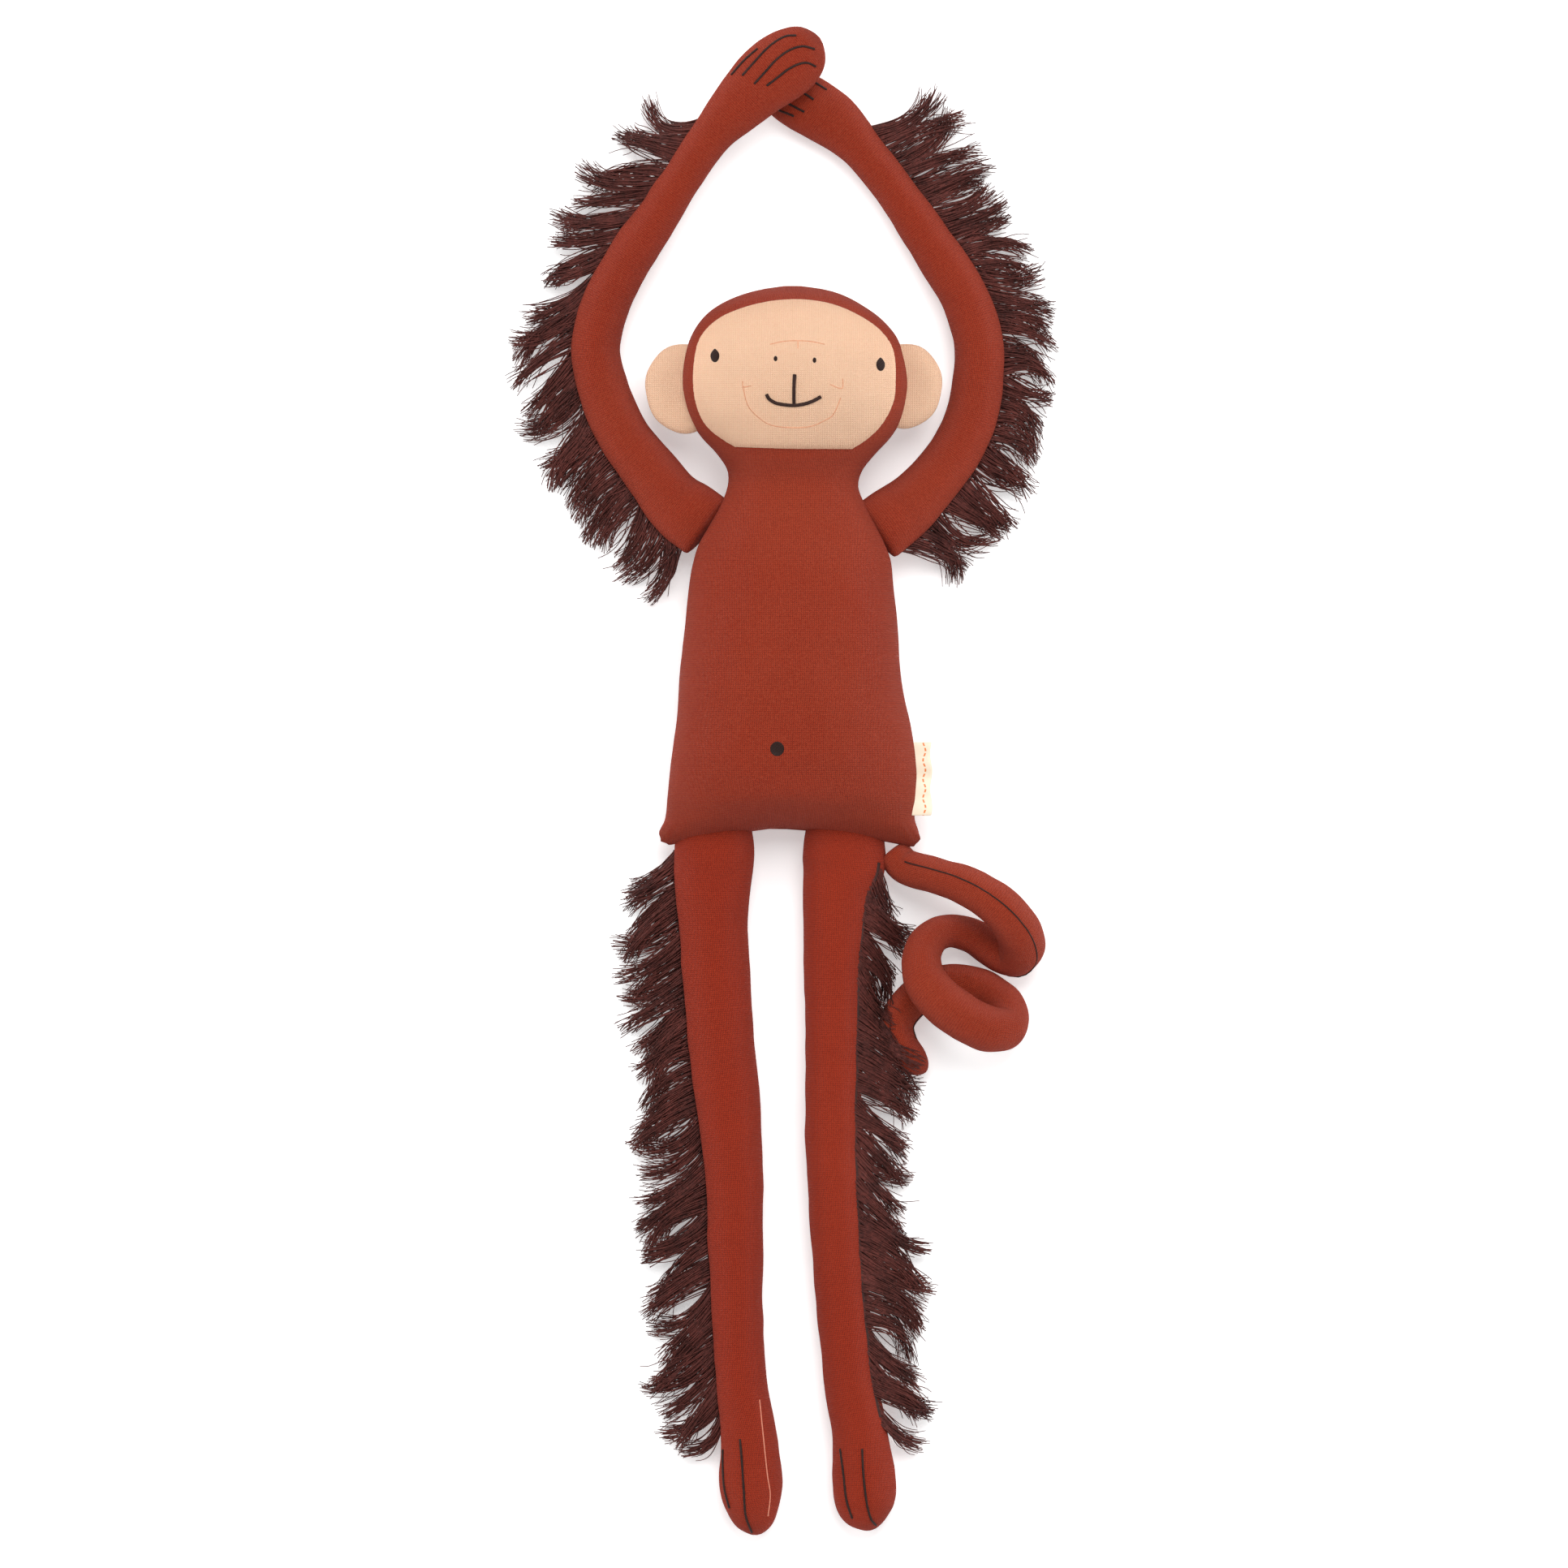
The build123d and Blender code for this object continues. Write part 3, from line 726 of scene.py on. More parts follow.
def satin_pad(name, outline, surface, height, count, rings):
    """A raised patch of satin stitch. outline(turn share) is its edge in mm."""
    edge = [outline(turn / count) for turn in range(count)]
    middle = sum(edge, Vector((0, 0))) / count

    def lay(turn, share):
        flat = middle + (edge[turn] - middle) * share
        rise = -0.25 + (height + 0.25) * math.sqrt(max(1 - share ** 2.6, 0.0))
        return top_of(surface, flat.x, flat.y, rise)

    mesh = shrinking_rings(count, [1.0 - 0.93 * ring / rings for ring in range(rings + 1)], lay)
    pad = new_piece(name, mesh, satin_thread)
    thick = pad.modifiers.new("thickness", "SOLIDIFY")
    thick.thickness = 0.3 * MM
    return subdivided(pad)


def oval(centre, half_width, half_height, point=0.0):
    """An oval outline, drawn to a point at its top by the given share."""
    def outline(share):
        angle = 2 * math.pi * share
        pinch = 1.0 - point * max(math.sin(angle), 0.0) ** 2
        return Vector((centre[0] + half_width * math.cos(angle) * pinch,
                       centre[1] + half_height * math.sin(angle)))
    return outline


def make_embroidery(on_face, on_body):
    """Eyes, nostrils, mouth, painted shade along the creases round the muzzle, and the navel."""
    pads = [
        ("right_eye", "eye_right", on_face, oval((-28.1, 122.6), 1.85, 2.8, 0.55), 0.55, 28, 5),
        ("left_eye", "eye_left", on_face, oval((32.8, 119.4), 1.85, 2.8, 0.55), 0.55, 28, 5),
        ("navel", "navel_embroidery", on_body, oval((-5.2, -22.0), 2.9, 3.0), 0.5, 28, 5),
        ("right_nostril", "nostrils", on_face, oval((-5.8, 121.3), 0.85, 1.25), 0.35, 16, 3),
        ("left_nostril", "nostrils", on_face, oval((8.5, 120.7), 0.85, 1.25), 0.35, 16, 3),
    ]
    for name, node, surface, outline, height, count, rings in pads:
        pad = satin_pad(f"{name}_stitches", outline, surface, height, count, rings)
        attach(pad, "torso" if name == "navel" else "head")
        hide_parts(node)
    smile = [(-9.1, 108.2), (-8.2, 106.6), (-5.8, 105.1), (-2.4, 104.4), (1.2, 104.2), (4.8, 104.7),
             (8.0, 105.8), (10.9, 107.4)]
    lip_line = [(1.2, 115.4), (0.95, 110.0), (1.0, 104.2)]
    mouth = back_stitch("mouth_stitches", [smile, lip_line], on_face, 0.66, embroidery_thread)
    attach(mouth, "head")
    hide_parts("mouth_embroidery")
    muzzle = [
        [(-17.8, 111.0), (-16.0, 104.2), (-12.4, 100.0), (-7.6, 97.0), (0.3, 96.0), (7.2, 96.5), (12.6, 98.8),
         (15.4, 100.8), (18.2, 107.0)],
        [(-7.8, 126.6), (-2.6, 127.7), (2.4, 127.9), (7.4, 127.6), (12.2, 126.6)],
        [(-17.9, 113.1), (-17.7, 111.0), (-14.8, 111.3)],
        [(18.9, 114.0), (18.6, 110.4), (14.2, 111.8)],
        [(2.4, 127.9), (2.4, 125.0)],
    ]
    # Painted shade: darker flesh-knit threads sunk along the creases round the muzzle.
    sunk = [laid_line(line, on_face, -0.12) for line in muzzle]
    creases = threads("muzzle_creases", sunk, 0.24, knit["crease"])
    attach(creases, "head")


# ---------------- ears
EARS = {
    "right": {"centre": (-38.6, 111.0), "half": (15.6, 16.7), "out": -1.0, "turn": 0.10},
    "left": {"centre": (41.0, 111.9), "half": (15.0, 15.8), "out": 1.0, "turn": -0.12},
}
EAR_HEIGHT = 23.5
EAR_SIDES = 64


def make_ear(side):
    """A padded disc: a rounded rim with a seam, a shallow hollow, and a pleat where it joins the head."""
    ear = EARS[side]
    shares = [0.02, 0.16, 0.32, 0.48, 0.62, 0.74, 0.84, 0.92, 0.97, 1.0]
    rows = [(share, 1) for share in shares] + [(share, -1) for share in reversed(shares[:-1])]

    def place(ring, turn):
        share, face = rows[ring]
        angle = 2 * math.pi * turn / EAR_SIDES
        wobble = 1.0 + 0.018 * math.sin(3 * angle + ear["turn"] * 9) + 0.01 * math.sin(7 * angle)
        reach_x = ear["half"][0] * share * math.cos(angle) * wobble
        reach_y = ear["half"][1] * share * math.sin(angle) * wobble
        swell = 4.1 * math.sqrt(max(1 - share ** 3.2, 0.0))
        hollow = 0.7 * math.exp(-((share - 0.1) / 0.42) ** 2) if face > 0 else 0.0
        inward = max(-math.cos(angle) * ear["out"], 0.0)
        pleat, groove = 0.0, 0.0
        if face > 0:
            folds = math.sin(angle * 11.0 + ear["turn"] * 20)
            pleat = 1.5 * inward ** 2 * folds * share * (1 - share) * 4.0
            groove = 0.15 if 0.9 < share < 0.99 else 0.0
        z = EAR_HEIGHT + face * (swell - hollow) + pleat - groove
        z += lumps((reach_x, reach_y, face * 5.0), 5.0, 0.35) * (1 - share)
        lean = 0.10 * reach_x * ear["out"]
        return Vector((ear["centre"][0] + reach_x, ear["centre"][1] + reach_y, z - lean))

    pad = closed_tube(f"{side}_ear", len(rows), EAR_SIDES, place, [(0, EAR_SIDES, 0)], knit["flesh"])
    knit_map = pad.data.uv_layers[KNIT_MAP]
    for corner in pad.data.loops:
        spot = pad.data.vertices[corner.vertex_index].co / MM
        knit_map.data[corner.index].uv = (spot.x, spot.y)
    subdivided(pad)
    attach(pad, "head")
    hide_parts(f"ear_{side}_cover", f"ear_{side}_filling")


# ---------------- limbs
# x, y, height of the middle, half width and half height, from the root to the tip
ARM_RIGHT = [
    (-30.5, 59.3, 17, 12.6, 5), (-36, 63.5, 14.8, 12.8, 7.8), (-42.5, 68.6, 12.2, 11.9, 9.3),
    (-49, 76.4, 10.8, 10.9, 9.8), (-55.5, 85, 10.2, 10.2, 9.8), (-61.8, 93.5, 10, 9.9, 9.7),
    (-68.7, 108, 9.8, 9.6, 9.5), (-72.2, 123, 9.7, 9.3, 9.4), (-71.6, 132, 10.2, 9.2, 9.2),
    (-69, 141, 11, 9.1, 9), (-63.6, 152.4, 12.4, 8.8, 8.8), (-57.6, 162.6, 13.8, 8.7, 8.5),
    (-51.6, 171.2, 15.2, 8.2, 8), (-44, 182.7, 17, 7.6, 7.5), (-36.3, 195, 18.8, 7.4, 7.3),
    (-28.5, 205.5, 20.5, 8, 7.1), (-21, 213.8, 21.6, 10, 6.9), (-12.5, 222.3, 22.4, 12.1, 6.8),
    (-2.6, 230.2, 22.8, 12.9, 6.6), (4.2, 235.4, 22.9, 11, 5.7), (8.6, 238.7, 22.9, 7, 4.2),
    (10.6, 240.2, 22.9, 1.6, 1.2),
]
ARM_LEFT = [
    (30.6, 58, 17, 12.2, 5), (36.3, 62, 14.8, 12, 7.8), (41, 65.8, 12.4, 11.4, 9.3),
    (46.2, 70.3, 11, 10.8, 9.8), (52.4, 77, 10.3, 10.3, 9.8), (60, 87, 10, 10, 9.7),
    (66, 99, 9.9, 9.7, 9.5), (68.7, 111, 9.8, 9.5, 9.5), (69.6, 123, 9.7, 9.3, 9.4),
    (67.7, 135, 9.5, 9.2, 9.2), (62.9, 147, 9.2, 9.1, 9), (55.5, 159, 8.9, 8.8, 8.7),
    (47.3, 171, 8.5, 8.2, 8.2), (39, 183, 8, 7.6, 7.7), (30.3, 194.5, 7.6, 7.6, 7.3),
    (22.5, 203.5, 7.4, 8.6, 7.1), (14.5, 210.8, 7.4, 10.6, 7), (5, 217, 7.4, 11.2, 6.9),
    (-3.5, 221.2, 7.4, 9.8, 6.3), (-8.6, 223.2, 7.4, 6, 4.6), (-11, 224, 7.4, 1.5, 1.2),
]
LEG_RIGHT = [
    (-28.4, -47, 14, 13.4, 7.5), (-28.6, -57, 12.4, 14.8, 10.2), (-28.8, -66, 11.5, 14.9, 11),
    (-29, -76, 11.3, 13.9, 11.1), (-28.9, -87, 11.1, 12.9, 10.9), (-27.5, -111, 11, 12.7, 10.8),
    (-25.5, -135, 11, 12.3, 10.6), (-22.9, -159, 10.7, 11.7, 10.4), (-21.1, -183, 10.3, 10.8, 10),
    (-20.6, -207, 10, 10.4, 9.7), (-20, -231, 9.7, 9.5, 9.3), (-18.6, -255, 9.6, 9.6, 9.2),
    (-16.4, -271, 9.8, 10.2, 9.3), (-15.4, -282, 9.9, 11.1, 9.4), (-15.1, -291, 9.9, 11.8, 9.2),
    (-14.7, -298, 9.7, 11.1, 8.7), (-13.8, -304.5, 9.2, 9, 7.4), (-13, -309.5, 8.7, 6, 5.2),
    (-12.7, -312.3, 8.4, 1.5, 1.4),
]
LEG_LEFT = [
    (19.6, -47, 14, 13.4, 7.5), (19.6, -57, 12.4, 15.2, 10.2), (19.5, -65, 11.5, 15.6, 11),
    (17.7, -75, 11.2, 13.7, 11), (16.6, -87, 11.1, 12.4, 10.9), (16, -105, 11, 11.4, 10.8),
    (16, -123, 11, 11.1, 10.6), (15.7, -141, 10.8, 10.7, 10.4), (15.6, -162, 10.5, 10.4, 10.2),
    (16.2, -183, 10.2, 10.2, 10), (17.6, -207, 9.9, 10, 9.7), (19.4, -231, 9.6, 9.8, 9.4),
    (22, -255, 9.6, 10, 9.2), (24.8, -271, 9.8, 10.4, 9.3), (26.1, -281, 9.9, 11, 9.3),
    (26.8, -290, 9.9, 11.8, 9.1), (27.1, -298, 9.7, 11.8, 8.6), (27.8, -304, 9.2, 10, 7.3),
    (28.8, -308.2, 8.7, 6, 5), (29.3, -310.6, 8.4, 1.5, 1.4),
]
RING_STEP = 2.2
LIMB_SIDES = 36
LIMB_SQUARE = 2.15    # 2 is an oval, and more is squarer
SEAM_GROOVE = 0.45
MEETING = 0.42        # where a limb's two lengths meet, as a share of the way from root to middle joint
ROOT_REACH = 9.0      # how far a cover's bend spreads on each side of a joint
BEND_REACH = 12.0


class Limb:
    """A stuffed tube along a track, with its outward side on one hand of the way that it runs."""

    def __init__(self, rows, outer):
        self.track = Track(rows, by_length=True)
        self.outer = outer
        self.length = self.track.length

    def frame_at(self, length):
        ahead = Vector(self.track.at(min(length + 1.0, self.length))[:3])
        behind = Vector(self.track.at(max(length - 1.0, 0.0))[:3])
        way = (ahead - behind).normalized()
        side = way.cross(UP).normalized() * self.outer
        return Vector(self.track.at(length)[:3]), way, side

    def point(self, length, angle, swell=0.0):
        """A point on the surface. Angle 0 is the outer seam and a quarter turn is the top."""
        half_width, half_height = self.track.at(length)[3:]
        centre, way, side = self.frame_at(length)
        top = side.cross(way) * self.outer
        if top.z < 0:
            top.negate()
        square = 2.0 / LIMB_SQUARE
        across, rise = squarer(math.cos(angle), square), squarer(math.sin(angle), square)
        point = centre + side * across * (half_width + swell) + top * rise * (half_height + swell)
        out = side * math.cos(angle) + top * math.sin(angle)
        taper = smoothstep(0.0, 8.0, min(length, self.length - length) + 0.5)
        uneven = lumps(point + Vector((0, 0, 40)), 11.0, 0.5) + lumps(point + Vector((30, 0, 0)), 4.5, 0.2)
        point += out * uneven * taper
        if abs(math.remainder(angle, 2 * math.pi)) < 0.06:
            point -= side * SEAM_GROOVE * taper
        point.z = max(point.z, ON_FLOOR)
        return point

    def nearest(self, spot):
        """Length along the limb that is nearest to a point."""
        lengths = [self.length * step / 400 for step in range(401)]
        return min(lengths, key=lambda length: (Vector(self.track.at(length)[:2]) - spot.xy).length)

    def joint(self, name, reach):
        """A joint's length along the limb, and the two ends of the bend round it."""
        centre = hinge[name]
        length = self.nearest(centre)
        way = self.frame_at(length)[1]
        return length, tuple((centre - way * reach) * MM), tuple((centre + way * reach) * MM)

    def lengths(self, root_joint, middle_joint):
        """Where the limb's two lengths meet, and the ends of the bend at each joint."""
        root, *root_ends = self.joint(root_joint, ROOT_REACH)
        middle, *middle_ends = self.joint(middle_joint, BEND_REACH)
        return root + (middle - root) * MEETING, root_ends, middle_ends


LIMBS = {
    "arm_right": Limb(ARM_RIGHT, -1.0),
    "arm_left": Limb(ARM_LEFT, 1.0),
    "leg_right": Limb(LEG_RIGHT, 1.0),
    "leg_left": Limb(LEG_LEFT, -1.0),
}


def limb_piece(name, limb, start, end, material):
    """One length of a limb's cover, between two lengths along it."""
    rings = max(int((end - start) / RING_STEP), 4)
    at_tip = end >= limb.length - 0.01

    def length_at(ring):
        share = ring / (rings - 1)
        if at_tip:
            share = share + 0.03 * math.sin(math.pi * share) * share
        return start + (end - start) * min(share, 1.0)

    def place(ring, turn):
        return limb.point(length_at(ring), 2 * math.pi * turn / LIMB_SIDES)

    panels = [(0, LIMB_SIDES, LIMB_SIDES // 2)]
    piece = closed_tube(name, rings, LIMB_SIDES, place, panels, material, flat_end=0 if at_tip else 1)
    subdivided(piece)
    return piece


def make_limb(name, root_joint, middle_joint, material):
    """A limb's cover in two lengths that meet on the upper limb."""
    limb = LIMBS[name]
    meet, root_ends, middle_ends = limb.lengths(root_joint, middle_joint)
    first = limb_piece(f"{name}_root_cover", limb, 0.0, meet, material)
    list(root_ends)
    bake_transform(first)
    second = limb_piece(f"{name}_cover", limb, meet, limb.length, material)
    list(middle_ends)
    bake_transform(second)
    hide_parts(f"{name}_upper_cover", f"{name}_upper_filling")
    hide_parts(f"{name}_lower_cover", f"{name}_lower_filling")
    return second


# ---------------- fringes
FRINGES = {
    "arm_right": {
        "joints": ("shoulder_right", "elbow_right"), "from": 6, "to": 54, "angle": 0,
        "tips": [(-50, 30), (-66, 44), (-82.5, 62), (-91.5, 78), (-100.5, 102), (-101.5, 118),
                 (-99, 136.5), (-93, 151.5), (-90, 165), (-81, 183), (-66, 199.5), (-54, 213)],
    },
    "arm_left": {
        "joints": ("shoulder_left", "elbow_left"), "from": 6, "to": 43, "angle": 0,
        "tips": [(60, 37), (76, 50), (83.5, 63), (93, 84), (95.5, 100), (96.5, 122),
                 (97.5, 135), (88, 162), (80, 176), (75, 186), (67.5, 205), (54, 222.6)],
    },
    "leg_right": {
        "joints": ("hip_right", "knee_right"), "from": 14, "to": 42, "angle": -0.15,
        "tips": [(-60, -75), (-63, -93), (-63, -118), (-57, -138), (-57.5, -152),
                 (-56.5, -172), (-56.1, -192), (-54, -213), (-52.5, -243), (-50.7, -257),
                 (-46.5, -274), (-38, -288)],
    },
    "leg_left": {
        "joints": ("hip_left", "knee_left"), "from": 17, "to": 42, "angle": 0.65,
        "tips": [(41.5, -84), (42.5, -104), (38.5, -115), (36.5, -126), (39, -136), (47, -146),
                 (46, -160), (42, -178), (43, -197), (50.5, -213), (49.5, -233), (49.5, -250),
                 (51, -273), (48, -283)],
    },
}
TUFT_GAP = 5.6
THREADS_IN_TUFT = 54
THREAD_STEPS = 11
THREAD_RADIUS = 0.24
HEADING_STEP = 1.5
HEADING_RADIUS = 0.9


def bezier(points, share):
    a, b, c, d = points
    return (a * (1 - share) ** 3 + b * 3 * share * (1 - share) ** 2
            + c * 3 * share ** 2 * (1 - share) + d * share ** 3)


def fringe_paths(limb, fringe, obstacle):
    """Threads in tufts from the outer seam, each with its length along the limb.

    They lie out towards the line of tips and curl. An obstacle is a surface that they lie over."""
    start, end = fringe["from"], limb.length - fringe["to"]
    tips = flat_track(fringe["tips"])
    count = int((end - start) / TUFT_GAP)
    paths = []
    for tuft in range(count):
        share = (tuft + 0.5 + draw.uniform(-0.3, 0.3)) / count
        tip = Vector(tips.at(tips.length * min(max(share, 0.0), 1.0)))
        reach = draw.uniform(0.84, 1.06)
        bow = draw.uniform(-5.0, 5.0)
        hook = draw.uniform(-6.0, 6.0)
        waves = draw.uniform(0.8, 1.7)
        rest = draw.uniform(0.8, 6.0)
        lift = draw.uniform(0.0, 2.5)
        for _ in range(THREADS_IN_TUFT):
            stray = 1.9 if draw.random() < 0.10 else 1.0
            aside = draw.gauss(0, TUFT_GAP * 0.46)
            length = start + (end - start) * share + aside
            length = min(max(length, start - 2.0), end + 2.0)
            root = limb.point(length, fringe["angle"] + draw.uniform(-0.18, 0.18), -0.8)
            way = limb.frame_at(length)[1]
            out = Vector((tip.x - root.x, tip.y - root.y, 0.0)) + way * aside * 0.30
            out.z = 0.0
            span = out.length * reach * draw.uniform(0.78, 1.08)
            out.normalize()
            cross = Vector((-out.y, out.x, 0.0))
            spread = draw.gauss(0, 1.35) * stray
            phase = draw.uniform(0, 2 * math.pi)
            ripple = draw.uniform(0.2, 0.8) * stray
            end_height = max(rest + draw.gauss(0, 1.2), 0.45)
            second = root + out * span * 0.33 + cross * (bow * 0.6 + spread * 0.25)
            second.z = root.z * 0.92 + 0.8 + lift
            third = root + out * span * 0.70 + cross * (bow + spread * 0.4)
            third.z = end_height + (root.z - end_height) * 0.3 + lift
            last = root + out * span + cross * (hook + spread * 1.3)
            last.z = end_height + draw.uniform(-0.3, 0.9)
            path = []
            for step in range(THREAD_STEPS + 1):
                along = step / THREAD_STEPS
                point = bezier((root, second, third, last), along)
                point += cross * ripple * along * math.sin(2 * math.pi * waves * along + phase)
                point.z = max(point.z, 0.35)
                if obstacle and step:
                    found = obstacle.ray_cast((point + UP * 9.0) * MM, Vector((0, 0, -1)))
                    if found[0] is not None and found[0].z / MM > point.z - 0.4:
                        point.z = found[0].z / MM + draw.uniform(0.3, 0.9)
                path.append(point * MM)
            paths.append((length, path))
    return paths


def make_fringe(name, obstacle):
    """A limb's fringe. An arm's own splits where its cover does."""
    limb, fringe = LIMBS[name], FRINGES[name]
    meet, root_ends, middle_ends = limb.lengths(*fringe["joints"])
    start, end = fringe["from"] - 1.0, limb.length - fringe["to"] + 1.0
    upper, lower = f"{name}_upper", f"{name}_lower"
    if name.startswith("arm"):
        parts = [("", meet, end, upper, lower, *middle_ends),
                 ("root_", start, meet, "torso", upper, *root_ends)]
    else:
        meet = 0.0
        parts = [("", start, end, upper, lower, *middle_ends)]
    threads_by_length = fringe_paths(limb, fringe, obstacle)
    for prefix, first, last, *bend in parts:
        paths = [path for length, path in threads_by_length if (length < meet) == bool(prefix)]
        hanging = threads(f"{name}_{prefix}fringe_threads", paths, THREAD_RADIUS, fringe_thread,
                          taper=lambda share: 1.0 - 0.45 * share, order=1)
        steps = int((last - first) / HEADING_STEP)
        route = [limb.point(first + (last - first) * step / steps, fringe["angle"], -0.55) * MM
                 for step in range(steps + 1)]
        heading = threads(f"{name}_{prefix}fringe_heading", [route], HEADING_RADIUS, tape_weave, order=3)
        for piece in (hanging, heading):
            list(bend)
            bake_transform(piece)
        if not prefix:
            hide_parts(f"{upper}_fringe", f"{lower}_fringe")
            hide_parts(f"{upper}_fringe_tape", f"{lower}_fringe_tape")


# ---------------- stitching on hands and feet
LIMB_STITCHES = {
    "arm_right": ("finger", [
        [(-22, 226.4), (-17.4, 231.6), (-12.4, 236)],
        [(-18, 226.1), (-13.2, 231.5), (-9.4, 235.6), (-5.6, 238.7), (-1.7, 240.6), (1.8, 240.8)],
        [(-13.6, 223), (-9.4, 227.6), (-5.6, 231.8), (-1, 235.2), (4, 236.8), (8.6, 235.8)],
        [(-9, 222.3), (-4.8, 225.5), (-1, 228.4), (2.9, 230.3), (5.9, 230.7), (9, 229.4)],
    ]),
    "arm_left": ("finger", [
        [(8.6, 224), (13, 221.3)], [(4, 220.4), (8.2, 217.7)],
        [(-1.7, 216.5), (4.8, 213.1)], [(-5.5, 214.2), (1, 211.6)],
    ]),
    "leg_right": ("toe", [
        [(-25.2, -280.5), (-25.2, -287.1), (-24.6, -295), (-22.8, -302)],
        [(-18.9, -276.6), (-18.2, -284.9), (-17.5, -295.4), (-16.8, -304.8), (-14.6, -311)],
    ]),
    "leg_left": ("toe", [
        [(18.1, -280.2), (19.3, -289.8), (20.4, -299.1), (22.5, -305.8)],
        [(26.1, -280.2), (26.6, -289.9), (27.8, -300), (29.4, -306), (31.2, -308.4)],
    ]),
}


def make_limb_stitches(name, cover):
    kind, lines = LIMB_STITCHES[name]
    piece = back_stitch(f"{name}_{kind}_stitches", lines, surface_of(cover), 0.42, embroidery_thread)
    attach(piece, f"{name}_lower")
    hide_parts(f"{name}_{kind}_stitching")


# ---------------- tail
TAIL = [
    (37, -59.5, 12, 6), (42, -65.2, 13.5, 6.5), (53, -68.6, 19, 6.7), (61.8, -71.4, 23, 7.1),
    (70.6, -75.8, 25.5, 7.7), (78.3, -81.8, 25, 8.2), (83.8, -89, 21, 8.6), (85, -95, 15.5, 8.5),
    (81.5, -98.6, 10.2, 7.8), (73.9, -95.2, 8, 7.2), (66.6, -91, 8.4, 6.5), (58.5, -89, 11, 6.2),
    (51.6, -91.8, 15.5, 6.6), (48.1, -98.6, 20.5, 7.3), (49.4, -107.2, 25.2, 8), (55.4, -114.8, 28, 8.5),
    (64, -121.2, 28.2, 8.7), (72.6, -125.2, 25.4, 8.5), (79, -124.4, 20, 8.1), (79.4, -118, 13.6, 7.7),
    (73, -111.8, 9.2, 7.3), (63, -108.4, 7.6, 7.1), (52.4, -109.8, 7.2, 6.9), (43.2, -116.2, 7, 6.8),
    (38.9, -123.6, 6.9, 6.7), (40.4, -131.2, 6.7, 6.6), (45.2, -137, 6.3, 5.6), (48.4, -140, 6, 3.4),
    (49.8, -141.4, 5.9, 0.9),
]
TAIL_SIDES = 28
TAIL_SEAM = math.radians(86)      # round from the tail's first side


def tail_frames():
    """Points along the tail with a side that turns as little as it can from one to the next."""
    track = Track(TAIL, by_length=True)
    steps = int(track.length / 1.6)
    side = None
    frames = []
    for step in range(steps + 1):
        length = track.length * step / steps
        ahead = Vector(track.at(min(length + 0.8, track.length))[:3])
        behind = Vector(track.at(max(length - 0.8, 0.0))[:3])
        way = (ahead - behind).normalized()
        side = way.cross(UP) if side is None else side - way * side.dot(way)
        side.normalize()
        x, y, z, radius = track.at(length)
        frames.append((Vector((x, y, z)), way, side.copy(), radius))
    return frames


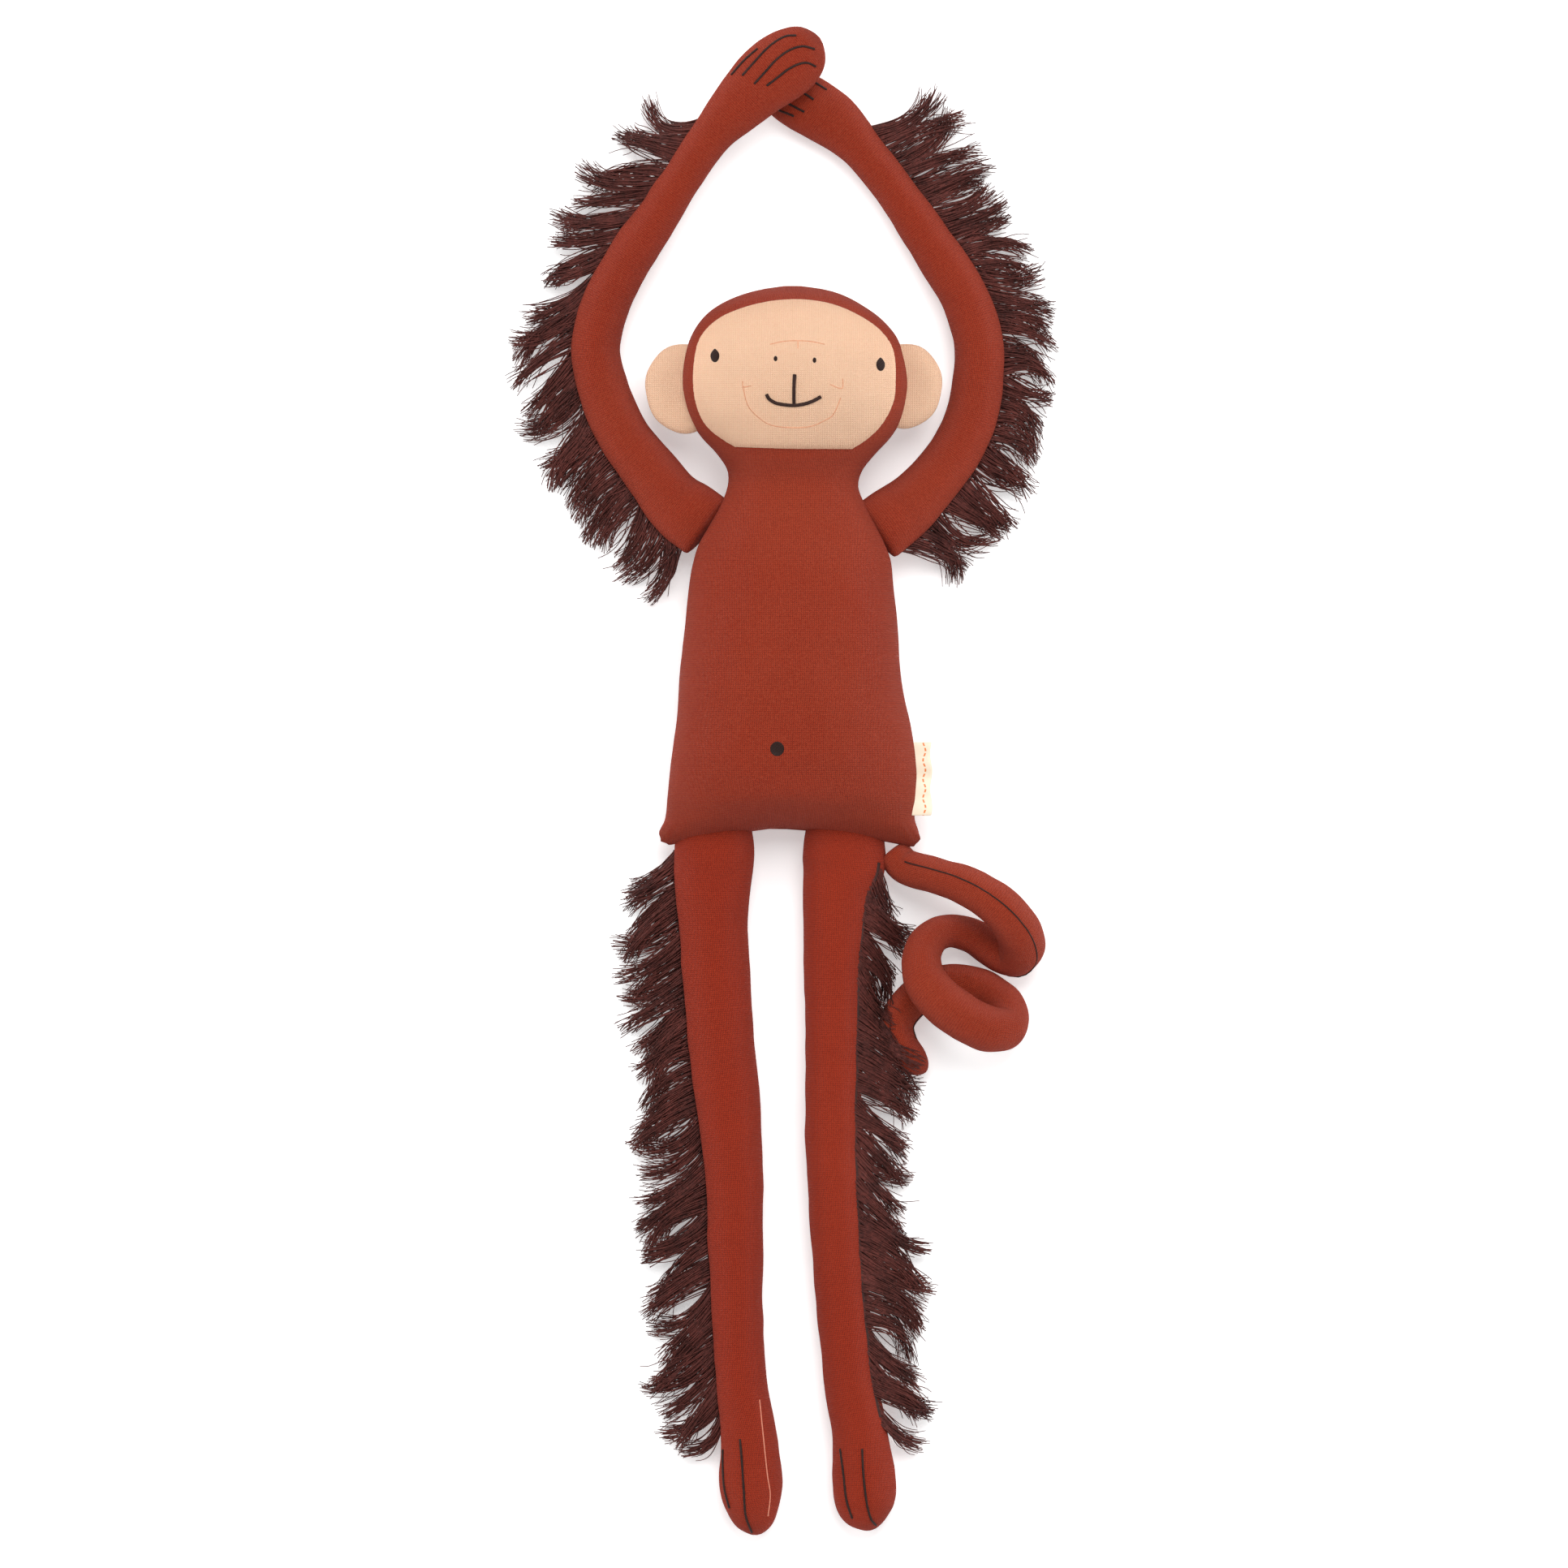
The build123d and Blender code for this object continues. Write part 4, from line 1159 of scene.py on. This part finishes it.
def make_tail():
    """The coiled tail and the stitched seam along it."""
    frames = tail_frames()

    def place(ring, turn):
        centre, way, side, radius = frames[ring]
        angle = 2 * math.pi * turn / TAIL_SIDES
        out = side * math.cos(angle) + way.cross(side) * math.sin(angle)
        uneven = lumps(centre + out * 6, 7.0, 0.45)
        point = centre + out * (radius + uneven * min(radius / 8.0, 1.0))
        point.z = max(point.z, ON_FLOOR)
        return point

    panels = [(0, TAIL_SIDES, TAIL_SIDES // 2)]
    tail = closed_tube("tail_knit", len(frames), TAIL_SIDES, place, panels, knit["rust"])
    subdivided(tail)
    route = []
    for centre, way, side, radius in frames[6:-8]:
        out = side * -math.cos(TAIL_SEAM) + way.cross(side) * -math.sin(TAIL_SEAM)
        route.append((centre + out * (radius + 0.05)) * MM)
    seam = threads("tail_seam_stitches", [route], 0.26, embroidery_thread)
    for piece in (tail, seam):
        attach(piece, "tail")
    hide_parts("tail_cover", "tail_filling", "tail_wire")
    return tail


# ---------------- label
def make_label():
    """A folded woven tape that stands out of the side seam."""
    low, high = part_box("side_label")
    mesh = bmesh.new()
    bmesh.ops.create_grid(mesh, x_segments=8, y_segments=26, size=0.5)
    for vertex in mesh.verts:
        across, along = vertex.co.x + 0.5, vertex.co.y + 0.5
        x = (low.x - 0.003) + (high.x - low.x + 0.003) * across
        y = low.y + (high.y - low.y) * along
        wave = 0.0007 * math.sin(along * 9.0 + 0.6) * across + 0.0004 * math.sin(along * 21.0) * across
        vertex.co = (x + 0.0004 * math.sin(along * 13.0) * across, y, (low.z + high.z) / 2 + wave)
    bmesh.ops.recalc_face_normals(mesh, faces=mesh.faces)
    tape = new_piece("side_label_tape", mesh, label_finish("label_satin"))
    thick = tape.modifiers.new("folded", "SOLIDIFY")
    thick.thickness = 0.9 * MM
    thick.offset = 0.0
    round_fold = tape.modifiers.new("fold", "BEVEL")
    round_fold.width = 0.3 * MM
    round_fold.segments = 2
    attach(tape, "torso")
    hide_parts("side_label")


# ---------------- the toy
add_camera()
add_studio()

body = make_body()
body_surface = surface_of(body)
face = make_face(body_surface)
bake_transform(body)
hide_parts("torso_front_cover", "torso_back_cover", "torso_filling",
            "head_front_cover", "head_back_cover", "head_filling")
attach(face, "head")
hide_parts("face_panel")
make_embroidery(surface_of(face), body_surface)
for side in EARS:
    make_ear(side)
make_label()

covers = {}
for name, fringe in FRINGES.items():
    material = knit["rust"] if name.startswith("arm") else knit["leg"]
    covers[name] = make_limb(name, *fringe["joints"], material)
    make_limb_stitches(name, covers[name])

foot_seam = [(-11.7, -262.0), (-10.6, -273.0), (-8.8, -290.0), (-7.8, -297.0), (-8.6, -305.0)]
foot_surface = surface_of(covers["leg_right"])
seam = back_stitch("right_foot_seam", [foot_seam], foot_surface, 0.24, seam_thread, rise=0.0)
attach(seam, "leg_right_lower")

tail = make_tail()
tail_surface = surface_of(tail)
for name in FRINGES:
    make_fringe(name, tail_surface if name == "leg_left" else None)
